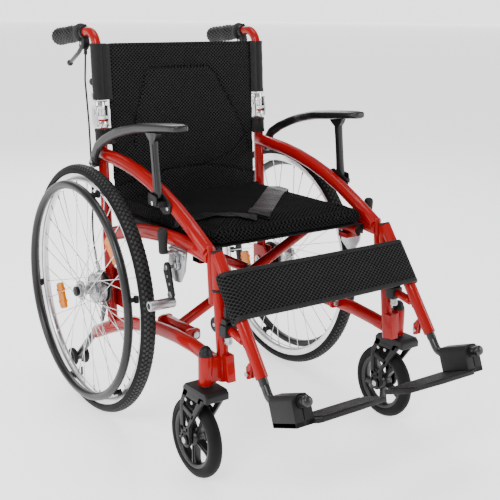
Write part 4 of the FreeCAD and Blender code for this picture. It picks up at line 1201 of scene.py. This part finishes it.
# ---- cross brace --------------------------------------------------------------------------------------------
for nm, ys, s, body in (("a", -270.0, 1, "cross_a"), ("b", -240.0, -1, "cross_b")):
    g = G()
    slope = (371.0 - 272.0) / 203.0
    g.tube([(-s * 203, ys, 272), (s * 192, ys, 371 + slope * 192)], [], 12.0, segs=32)
    g.cyl((-s * 203, -330, 272), (-s * 203, -222, 272), 13.0, 1.2, 36, hole=8.1)
    g.cyl((s * 196, -420, 474), (s * 196, -20, 474), 11.0, 1.4, 32)
    g.prism([(s * 196, 472), (s * 196, 462), (s * 150, 371 + slope * 150 - 6), (s * 150, 371 + slope * 150 + 4)], 1, ys - 4, ys + 4, 0.8, 2)
    o = g.obj("cross_brace_" + nm, M["red"])
    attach(o, body)
    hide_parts("cross_tube_" + nm)
    g = G()
    for y in (-421.5, -20):
        g.cyl((s * 196, y, 474), (s * 196, y + 1.5, 474), 11.3, 0.5, 32)
    o = g.obj("seat_rail_caps_" + nm, M["plastic"])
    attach(o, body)
g = G()
g.cyl((0, -286.5, 371), (0, -281.6, 371), 9.6, 1.4, 32)
g.cyl((0, -289, 371), (0, -286, 371), 7.6, 1.0, 6)
g.cyl((0, -259, 371), (0, -252.6, 371), 10, 0.6, 32)
g.cyl((0, -227.9, 371), (0, -221.5, 371), 9, 1.2, 6)
o = g.obj("cross_bolt", M["zinc"])
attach(o, "cross_a")

# ======================================================================
# soft parts
# ======================================================================


def arr(o):
    me = o.data
    co = np.empty(len(me.vertices) * 3)
    me.vertices.foreach_get("co", co)
    no = np.empty(len(me.vertices) * 3)
    me.vertices.foreach_get("normal", no)
    return co.reshape(-1, 3), no.reshape(-1, 3)


def put_co(o, co):
    o.data.vertices.foreach_set("co", co.ravel())
    o.data.update()


def applied(o):
    """Bakes the piece's modifiers into its mesh."""
    dg = bpy.context.evaluated_depsgraph_get()
    me = bpy.data.meshes.new_from_object(o.evaluated_get(dg))
    old = o.data
    o.modifiers.clear()
    o.data = me
    bpy.data.meshes.remove(old)


def swell(o, pinned, cap, pressure=4.0, voxel=0.0055, frames=20):
    """Cloth simulation with inner pressure; no point moves further than cap (metres)."""
    m = o.modifiers.new("remesh", "REMESH")
    m.mode, m.voxel_size = "VOXEL", voxel
    applied(o)
    rest, _ = arr(o)
    vg = o.vertex_groups.new(name="pin")
    w = pinned(rest)
    for i in np.nonzero(w > 0)[0]:
        vg.add([int(i)], float(w[i]), "REPLACE")
    m = o.modifiers.new("cloth", "CLOTH")
    st = m.settings
    st.quality, st.mass = 6, 0.3
    st.tension_stiffness = st.compression_stiffness = 18
    st.bending_stiffness = 1.2
    st.use_pressure, st.uniform_pressure_force = True, pressure
    st.effector_weights.gravity = 0
    st.vertex_group_mass = "pin"
    m.point_cache.frame_start, m.point_cache.frame_end = 1, frames
    m.collision_settings.use_self_collision = False
    sc = bpy.context.scene
    for f in range(1, frames + 1):
        sc.frame_set(f)
    applied(o)
    sc.frame_set(1)
    now, _ = arr(o)
    d = now - rest
    L = np.linalg.norm(d, axis=1, keepdims=True)
    put_co(o, rest + d * np.minimum(1, cap / np.maximum(L, 1e-9)))
    o.vertex_groups.clear()
    m = o.modifiers.new("sub", "SUBSURF")
    m.levels = m.render_levels = 1
    applied(o)
    o.data.shade_smooth()


def seg_dist(q, line):
    """Distance from points q (n, 2) to a polyline, and the length along it."""
    best = np.full(len(q), 1e9)
    along = np.zeros(len(q))
    s0 = 0.0
    for a, b in zip(line, line[1:]):
        a, b = np.array(a, float), np.array(b, float)
        d = b - a
        L = np.linalg.norm(d)
        t = np.clip(((q - a) @ d) / L ** 2, 0, 1)
        r = np.linalg.norm(q - (a + t[:, None] * d), axis=1)
        k = r < best
        best[k], along[k] = r[k], (s0 + t * L)[k]
        s0 += L
    return best, along


def smooth_line(pts, r=25):
    return [(p.x, p.y) for p in fillet([(x, y, 0) for x, y in pts], [r] * (len(pts) - 2), 8)]


def soft_block(name, x0, x1, y0, y1, z0, z1, shift=None, corner=30, bev=7):
    """A rounded slab in mm; shift(z) slides it in Y."""
    g = G()
    g.prism([(x0, y0), (x1, y0), (x1, y1), (x0, y1)], 2, z0, z1, bev, 3, corner=corner)
    if shift:
        g.v = [(x, y + shift(z), z) for x, y, z in g.v]
    return g


def finish_soft(o, mat, uv=True):
    o.data.materials.clear()
    o.data.materials.append(M[mat])
    if uv:
        box_uv(o)


# seam lines of the back, in x and z
ARCH_SEAM = smooth_line([(-150, 640), (-141, 709), (-106, 828), (84, 828), (184, 650), (198, 600)], 34)
ARC_LOW = smooth_line([(-196, 548), (-120, 562), (-58, 575), (43, 578), (120, 566), (196, 548)], 200)
FLARE_L = smooth_line([(-141, 709), (-168, 640), (-196, 600)], 60)
FLARE_R = smooth_line([(184, 650), (150, 612), (96, 590), (43, 578)], 60)

# ---- back panels ------------------------------------------------------------
HWB = 209.0
ZSPLIT = 728.0
g = G()
# one slab standing on its edge, 11 mm thick, leaning with the posts
rows = 40
g.prism([(-HWB, 485.0), (HWB, 485.0), (HWB, 889.0), (-HWB, 889.0)], 1, -9.5, 1.5, 4.0, 3, corner=9)
g.v = [(x, y + postY(z), z) for x, y, z in g.v]
pad = g.obj("back_pad_whole", M["mesh_back"])


def pin_back(co):
    x, z = co[:, 0] * 1000, co[:, 2] * 1000
    e = np.minimum.reduce([HWB - np.abs(x), z - 485, 889 - z])
    return np.clip((9 - e) / 3, 0, 1)


swell(pad, pin_back, 0.0062, 4.5)
co, no = arr(pad)
x, z = co[:, 0] * 1000, co[:, 2] * 1000
front = (no[:, 1] < -0.25).astype(float)
q = np.stack([x, z], 1)
push = np.zeros(len(co))
for line, depth in ((ARCH_SEAM, 4.6), (ARC_LOW, 4.2), (FLARE_L, 2.8), (FLARE_R, 2.8)):
    d, s = seg_dist(q, line)
    push += depth * np.exp(-(d / 2.8) ** 2) + depth * 0.35 * np.exp(-(d / 10.0) ** 2)
    push += 0.5 * np.sin(s / 3.4) * np.exp(-((d - 6) / 5.0) ** 2)
# rolled border inside the outline and soft unevenness
e = np.minimum.reduce([HWB - np.abs(x), z - 485, 889 - z])
push += 2.0 * np.exp(-((e - 9.0) / 2.0) ** 2)
push += 0.9 * np.sin(x / 47 + 0.6) * np.sin(z / 61 + 1.1) + 0.5 * np.sin(x / 19 + z / 31)
# the panel hangs back a little between the canes
sag = 5.0 * (1 - (np.clip(np.abs(x), 0, HWB) / HWB) ** 2)
co[:, 1] += (front * push + sag) / 1000.0
put_co(pad, co)
for name, node, body, low in (("back_pad_upper", "back_panel_upper", "cane_right", False), ("back_pad_lower", "back_panel_lower", "side_right", True)):
    o = pad.copy()
    o.data = pad.data.copy()
    o.name = o.data.name = name
    bpy.context.scene.collection.objects.link(o)
    bm = bmesh.new()
    bm.from_mesh(o.data)
    zc = (ZSPLIT - 0.15) / 1000 if low else (ZSPLIT + 0.15) / 1000
    r = bmesh.ops.bisect_plane(bm, geom=bm.verts[:] + bm.edges[:] + bm.faces[:], plane_co=(0, 0, zc), plane_no=(0, 0, 1 if low else -1), clear_outer=True)
    bmesh.ops.holes_fill(bm, edges=[e_ for e_ in bm.edges if e_.is_boundary], sides=0)
    bm.to_mesh(o.data)
    bm.free()
    # a crease across the rear, so that the upper half can fold back
    cc = np.empty(len(o.data.vertices) * 3)
    o.data.vertices.foreach_get("co", cc)
    cc = cc.reshape(-1, 3)
    zz = cc[:, 2] * 1000
    mid = np.array([postY(v) for v in zz])
    lim = mid + np.abs(zz - ZSPLIT) * 1.0 - 0.4
    near = np.abs(zz - ZSPLIT) < 14
    yy = cc[:, 1] * 1000 - YO
    cc[:, 1] = np.where(near & (yy > lim), lim + YO, yy + YO) / 1000.0
    o.data.vertices.foreach_set("co", cc.ravel())
    o.data.update()
    o.data.shade_smooth()
    o.data.set_sharp_from_angle(angle=math.radians(70))
    finish_soft(o, "mesh_back")
    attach(o, body)
    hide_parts(node)
    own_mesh(o)
bpy.data.objects.remove(pad)


def shell(name, grid, th, mat, ends=True, closed_u=False, uv=True, scale=(1, 1)):
    """A closed thin sheet from grid[i][j] points (mm), th thick along the surface normal."""
    g = np.array(grid, float)
    nu, nv = g.shape[:2]
    du = np.gradient(g, axis=0)
    dv = np.gradient(g, axis=1)
    nrm = np.cross(du, dv)
    nrm /= np.maximum(np.linalg.norm(nrm, axis=2, keepdims=True), 1e-9)
    t = np.broadcast_to(np.asarray(th, float), (nu, nv))[:, :, None]
    A, B = g + nrm * t * 0.5, g - nrm * t * 0.5
    me = bpy.data.meshes.new(name)
    vs = np.concatenate([A.reshape(-1, 3), B.reshape(-1, 3)]) / 1000.0
    vs[:, 1] += YO / 1000.0
    N = nu * nv
    fs, us = [], []
    lu = np.concatenate([[0], np.cumsum(np.linalg.norm(np.diff(g, axis=0), axis=2).mean(1))]) / 1000.0
    lv = np.concatenate([[0], np.cumsum(np.linalg.norm(np.diff(g, axis=1), axis=2).mean(0))]) / 1000.0

    def idx(i, j):
        return i * nv + j
    for i in range(nu - 1):
        for j in range(nv - 1):
            q = [(i, j), (i + 1, j), (i + 1, j + 1), (i, j + 1)]
            fs.append([idx(*p) for p in q])
            us.append([(lu[p[0]], lv[p[1]]) for p in q])
            q = q[::-1]
            fs.append([N + idx(*p) for p in q])
            us.append([(lu[p[0]], lv[p[1]]) for p in q])
    rim = [(i, 0) for i in range(nu)] + [(nu - 1, j) for j in range(1, nv)] + [(i, nv - 1) for i in range(nu - 2, -1, -1)] + [(0, j) for j in range(nv - 2, 0, -1)]
    for k in range(len(rim)):
        a, b = rim[k], rim[(k + 1) % len(rim)]
        fs.append([idx(*b), idx(*a), N + idx(*a), N + idx(*b)])
        us.append([(lu[b[0]], lv[b[1]]), (lu[a[0]], lv[a[1]]), (lu[a[0]], lv[a[1]]), (lu[b[0]], lv[b[1]])])
    me.from_pydata(vs.tolist(), [], fs)
    uvl = me.uv_layers.new(name="UVMap")
    uvl.data.foreach_set("uv", np.array([c for f in us for p in f for c in p], float))
    me.update()
    me.shade_smooth()
    me.set_sharp_from_angle(angle=math.radians(60))
    me.materials.append(M[mat])
    o = bpy.data.objects.new(name, me)
    bpy.context.scene.collection.objects.link(o)
    return o, (float(lu[-1]), float(lv[-1]))


def ripple(a, b, k=0):
    return (math.sin(a * 1.0 + 1.3 * k) * math.cos(b * 0.83 + 0.7 * k) + 0.5 * math.sin(a * 2.3 - b * 1.9 + k) + 0.3 * math.sin(a * 4.1 + b * 3.3 + 2 * k)) / 1.8


def sleeve(name, z0, z1, body, k, mirror, notch=0.0):
    """Nylon wrapped round the cane and sewn back on the pad's edge."""
    sec = [(204, -11.6), (208, -12.9), (213, -14.4), (219, -15.2)]
    for i in range(25):
        a = math.radians(-125 + 250 * i / 24)
        sec.append((XF + 15.2 * math.cos(a), 15.2 * math.sin(a)))
    sec += [(215, 9.6), (210, 5.4), (205, 5.4)]
    nz = int((z1 - z0) / 3.0) + 1
    grid, th = [], []
    for i in range(nz + 1):
        z = z0 + (z1 - z0) * i / nz
        e = min(z - z0, z1 - z)
        row, tr = [], []
        for j, (x, y) in enumerate(sec):
            cx_, cy_ = x - XF, y
            L = math.hypot(cx_, cy_) or 1
            w = 0.55 * ripple(z / 17 + k, j / 3.1, k) + 0.35 * ripple(z / 6.5, j / 1.7 + k, k + 2)
            w = w if 4 < j < 28 else w * 0.4
            hem = 0.55 if e < 8.5 else 0.0
            st = -0.35 if abs(e - 8.5) < 1.6 else 0.0
            # tension folds run across from the sewn edge
            w += 0.5 * math.sin(z / 5.5 + j * 0.35 + k) * math.exp(-((j - 3) / 2.5) ** 2)
            r = max(0.0, w + hem + st)
            # the hem rises at the rear, clear of the release lever
            zn = z + notch * math.exp(-((math.degrees(math.atan2(cy_, cx_)) - 90) / 42) ** 2) * (1 - (z - z0) / (z1 - z0))
            row.append(((x + cx_ / L * r) * (-1 if mirror else 1), y + cy_ / L * r + postY(zn), zn))
            tr.append(1.0 + (0.6 if e < 8.5 else 0))
        grid.append(row)
        th.append(tr)
    o, (lu, lv) = shell(name, grid, th, "nylon")
    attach(o, body)
    return o


for side, mir, k in (("left", False, 0.0), ("right", True, 2.0)):
    sleeve("back_sleeve_upper_" + side, 757.5, 887.5, "cane_" + side, k, mir, 25.0)
    sleeve("back_sleeve_lower_" + side, 651.0, 688.0, "side_" + side, k + 1, mir)

# ---- seat cushion -------------------------------------------------------------
g = G()
g.prism([(-209, -424), (209, -424), (209, 1), (-209, 1)], 2, 492.0, 523.0, 8.0, 4, corner=26)
cushion = g.obj("seat_pad", M["mesh_seat"])


def pin_seat(co):
    x, y, z = co[:, 0] * 1000, co[:, 1] * 1000 - YO, co[:, 2] * 1000
    e = np.minimum.reduce([209 - np.abs(x), y + 424, 1 - y])
    edge = (e < 3.0) & (np.abs(z - 505) < 6)
    return np.where((z < 493.5) | edge, 1.0, 0.0)


swell(cushion, pin_seat, 0.0075, 4.0, 0.006)
co, no = arr(cushion)
x, y, z = co[:, 0] * 1000, co[:, 1] * 1000 - YO, co[:, 2] * 1000
topn = np.clip(no[:, 2], 0, 1)
e = np.minimum.reduce([209 - np.abs(x), y + 424, 1 - y])
side_n = 1 - np.abs(no[:, 2])
dz = -1.6 * np.exp(-((e - 24) / 3.0) ** 2) + 0.9 * np.sin(x / 53 + 0.4) * np.sin(y / 47) + 0.4 * np.sin(x / 17 + y / 23)
dz += -3.0 * np.exp(-((x / 120) ** 2 + ((y + 190) / 110) ** 2)) + 2.0
co[:, 2] += topn * dz / 1000
# a sewn line round the rim, with puckers between the stitches
s_al = np.where(np.abs(x) > 205, y, x)
grv = np.exp(-((z - 504) / 2.2) ** 2) * side_n
co -= no * ((1.7 * grv + 0.5 * np.sin(s_al / 3.6) * np.exp(-((z - 510) / 6.0) ** 2) * side_n) / 1000)[:, None]
put_co(cushion, co)
finish_soft(cushion, "mesh_seat")
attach(cushion, "seat")
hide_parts("seat_cushion")
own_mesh(cushion)

# ---- seat sling ------------------------------------------------------------------
sec = [(-209.6, 463.6)] + [(-209.6, 463.6 + 4 * i) for i in range(1, 6)] + [(-208.6, 486.0)] + [(-200 + 10 * i, 487.2) for i in range(41)] + [(208.6, 486.0)] + [(209.6, 483.6 - 4 * i) for i in range(0, 5)] + [(209.6, 463.6)]
grid, th = [], []
for i in range(86):
    y = -421.0 + 420.0 * i / 85
    e = min(y + 421, -1 - y)
    row = []
    for j, (x, z) in enumerate(sec):
        w = 0.35 * ripple(y / 14, j / 2.0)
        if j < 6 or j > len(sec) - 7:
            row.append((x + (w if x > 0 else -w), y, z))
        else:
            row.append((x, y, z + 0.4 * w))
    grid.append(row)
    th.append([1.4 + (0.7 if e < 12 or j < 3 or j > len(sec) - 4 else 0) for j in range(len(sec))])
sling, (lu, lv) = shell("seat_sling_cloth", grid, th, "nylon")
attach(sling, "seat")
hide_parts("seat_sling")
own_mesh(sling)

# ---- lap belt -----------------------------------------------------------------------
from mathutils.bvhtree import BVHTree
bm = bmesh.new()
bm.from_mesh(cushion.data)
tree = BVHTree.FromBMesh(bm)
bm.free()


def top_z(x, y):
    hit = tree.ray_cast(Vector((x / 1000, (y + YO) / 1000, 0.7)), Vector((0, 0, -1)))
    return hit[0].z * 1000 if hit[0] else 500.0


def ribbon(name, path, k, lift, amp, th=1.3, nv=11):
    """path: (x, y, dx, dy, rise): centre, half-width vector and height over the seat."""
    grid = []
    dense = []
    for a, b in zip(path, path[1:]):
        L = math.hypot(b[0] - a[0], b[1] - a[1]) + abs(b[4] - a[4])
        n = max(1, int(L / 4.0))
        dense += [[a[i] + (b[i] - a[i]) * t / n for i in range(5)] for t in range(n)]
    dense.append(list(path[-1]))
    for i, (x, y, dx, dy, rise) in enumerate(dense):
        row = []
        for j in range(nv):
            t = -1 + 2 * j / (nv - 1)
            px, py = x + dx * t, y + dy * t
            w = amp * (0.5 + 0.5 * ripple(i / 2.6 + k, t * 1.7, k)) + amp * 0.4 * (0.5 + 0.5 * math.sin(i * 1.1 + t * 2.2 + k))
            row.append((px, py, max(top_z(px, py), 523.0 if abs(px) < 207 and -420 < py < -3 else 500.0) + lift + rise + w))
        grid.append(row)
    # keep neighbouring rows level
    z = np.array(grid)[:, :, 2]
    for _ in range(3):
        zz = z.copy()
        zz[1:-1] = (z[:-2] + 2 * z[1:-1] + z[2:]) / 4
        z = np.maximum(zz, z - 0.4)
    gg = np.array(grid)
    gg[:, :, 2] = z
    o, (lu, lv) = shell(name, gg.tolist(), th, "webbing")
    o["len"] = lu
    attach(o, "seat")
    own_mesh(o)
    return o


b1 = ribbon("belt_left", [(205, -104, 18, -18, -0.5), (190, -120, 18, -17, 0), (100, -212, 18, -17, 0), (0, -314, 18, -17, 0), (-52, -368, 18, -17, 0.3), (-66, -382, 18, -17, 1.2)], 0.3, 1.0, 1.3)
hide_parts("lap_belt")
b1b = ribbon("belt_left_fold", [(-63, -379, 17.5, -17, 4.0), (-52, -367, 17.5, -17, 3.8), (-30, -344, 17.5, -17, 2.8)], 1.7, 1.0, 1.8)
b2 = ribbon("belt_right", [(-203, -262, 15, 8, -0.4), (-184, -298, 13, 9, 0.8), (-156, -334, 10, 12, 1.8), (-124, -352, 7, 15, 0.6), (-98, -372, 9, 12, 1.6), (-72, -384, 8, 13, 0.4)], 2.4, 1.0, 3.4)

# ---- calf strap ------------------------------------------------------------------------
ndir = Vector((0, -0.804, 0.595))
t0 = Vector((0, -470, 490))


def strap_path():
    """(x, n) of the strap's middle surface, from behind the left tube to behind the right one."""
    out = []
    for i in range(13):
        a = math.radians(-70 + 160 * i / 12)
        out.append((XF + 18.0 * math.cos(a), 18.0 * math.sin(a)))
    half = out[:]
    line = [(XF - 6 - i * 6.0, 18.0) for i in range(int((XF - 6) * 2 / 6) + 1)]
    line = [(x, 18.0 + 0.0) for x, _ in line if x > -(XF - 6)]
    return half + line + [(-x, n) for x, n in reversed(half)]


sp = strap_path()
DS = [46.5 + (149 - 46.5) * j / 34 for j in range(35)]


def strap_pt(i, d, off=0.0):
    x, n = sp[i]
    c = 1 - (abs(x) / XF) ** 2 if abs(x) < XF else 0
    bow = -1.6 * c + 0.7 * ripple(x / 55.0, d / 30.0, 1) * (1 if c > 0 else 0.3)
    # the edges ride up a little on the tubes, and the belly sags between them
    dd_ = d + 3.0 * c * (0.2 if d < 90 else 0.6)
    p = t0 + dd * dd_ + ndir * (n + bow + off)
    return Vector((x, p.y, p.z))


grid, th = [], []
for i in range(len(sp)):
    grid.append([tuple(strap_pt(i, d)) for d in DS])
    th.append([5.4 * math.sqrt(max(0.10, 1 - abs((d - 97.75) / 52.5) ** 7)) + 0.25 * ripple(i / 2.2, d / 8.0) for d in DS])
strap, (lu, lv) = shell("calf_pad", grid, th, "mesh_strap")
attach(strap, "hanger_right")
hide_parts("calf_strap")
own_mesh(strap)
for nm, d0, s in (("top", 46.5, 1), ("bottom", 149.0, -1)):
    grid = []
    for i in range(len(sp)):
        row = []
        for t, off in ((8.5, 3.3), (6, 3.45), (2, 3.3), (-0.4, 2.2), (-1.2, 0), (-0.4, -2.2), (2, -3.3), (6, -3.45), (8.5, -3.3)):
            w = 0.18 * math.sin(i * 1.9 + t) * (1 if t > 4 else 0.4)
            row.append(tuple(strap_pt(i, d0 + s * t, off + (w if off > 0 else -w))))
        grid.append(row)
    o, (lu, lv) = shell("calf_binding_" + nm, grid, 0.9, "binding")
    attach(o, "hanger_right")
    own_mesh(o)

# ======================================================================
# floor
# ======================================================================
floor_me = bpy.data.meshes.new("floor")
floor_me.from_pydata([(-60, -60, 0), (60, -60, 0), (60, 60, 0), (-60, 60, 0)], [], [(0, 1, 2, 3)])
floor_o = bpy.data.objects.new("floor", floor_me)
bpy.context.scene.collection.objects.link(floor_o)
for key, level in (("red", 0.12), ("amber", 0.15), ("plastic", 0.2), ("gloss", 0.4), ("rubber", 0.2), ("grip", 0.15), ("tyre", 0.12), ("tread", 0.25), ("foot", 0.2), ("metal_black", 0.3), ("cable", 0.3), ("mesh_back", 0.1), ("mesh_seat", 0.04), ("mesh_strap", 0.1), ("nylon", 0.2), ("binding", 0.2), ("webbing", 0.12)):
    bsdf(M[key]).inputs["Specular IOR Level"].default_value = level
floor_mat = mat_new("floor_white", (0.9, 0.9, 0.9), 0.5)
bsdf(floor_mat).inputs["Emission Color"].default_value = (1, 1, 1, 1)
bsdf(floor_mat).inputs["Emission Strength"].default_value = 1.2
floor_me.materials.append(floor_mat)
# a low white wall far away closes the sweep at the horizon
wall_me = bpy.data.meshes.new("sweep_wall")
ring_n = 96
wall_me.from_pydata([(56 * math.cos(2 * math.pi * i / ring_n), 56 * math.sin(2 * math.pi * i / ring_n), z) for z in (0, 7) for i in range(ring_n)], [],
                    [(i, (i + 1) % ring_n, ring_n + (i + 1) % ring_n, ring_n + i) for i in range(ring_n)])
wall_o = bpy.data.objects.new("sweep_wall", wall_me)
bpy.context.scene.collection.objects.link(wall_o)
wall_mat = mat_new("sweep_white", (0, 0, 0), 1.0)
bsdf(wall_mat).inputs["Specular IOR Level"].default_value = 0
bsdf(wall_mat).inputs["Emission Color"].default_value = (1, 1, 1, 1)
bsdf(wall_mat).inputs["Emission Strength"].default_value = 2.38
wall_me.materials.append(wall_mat)
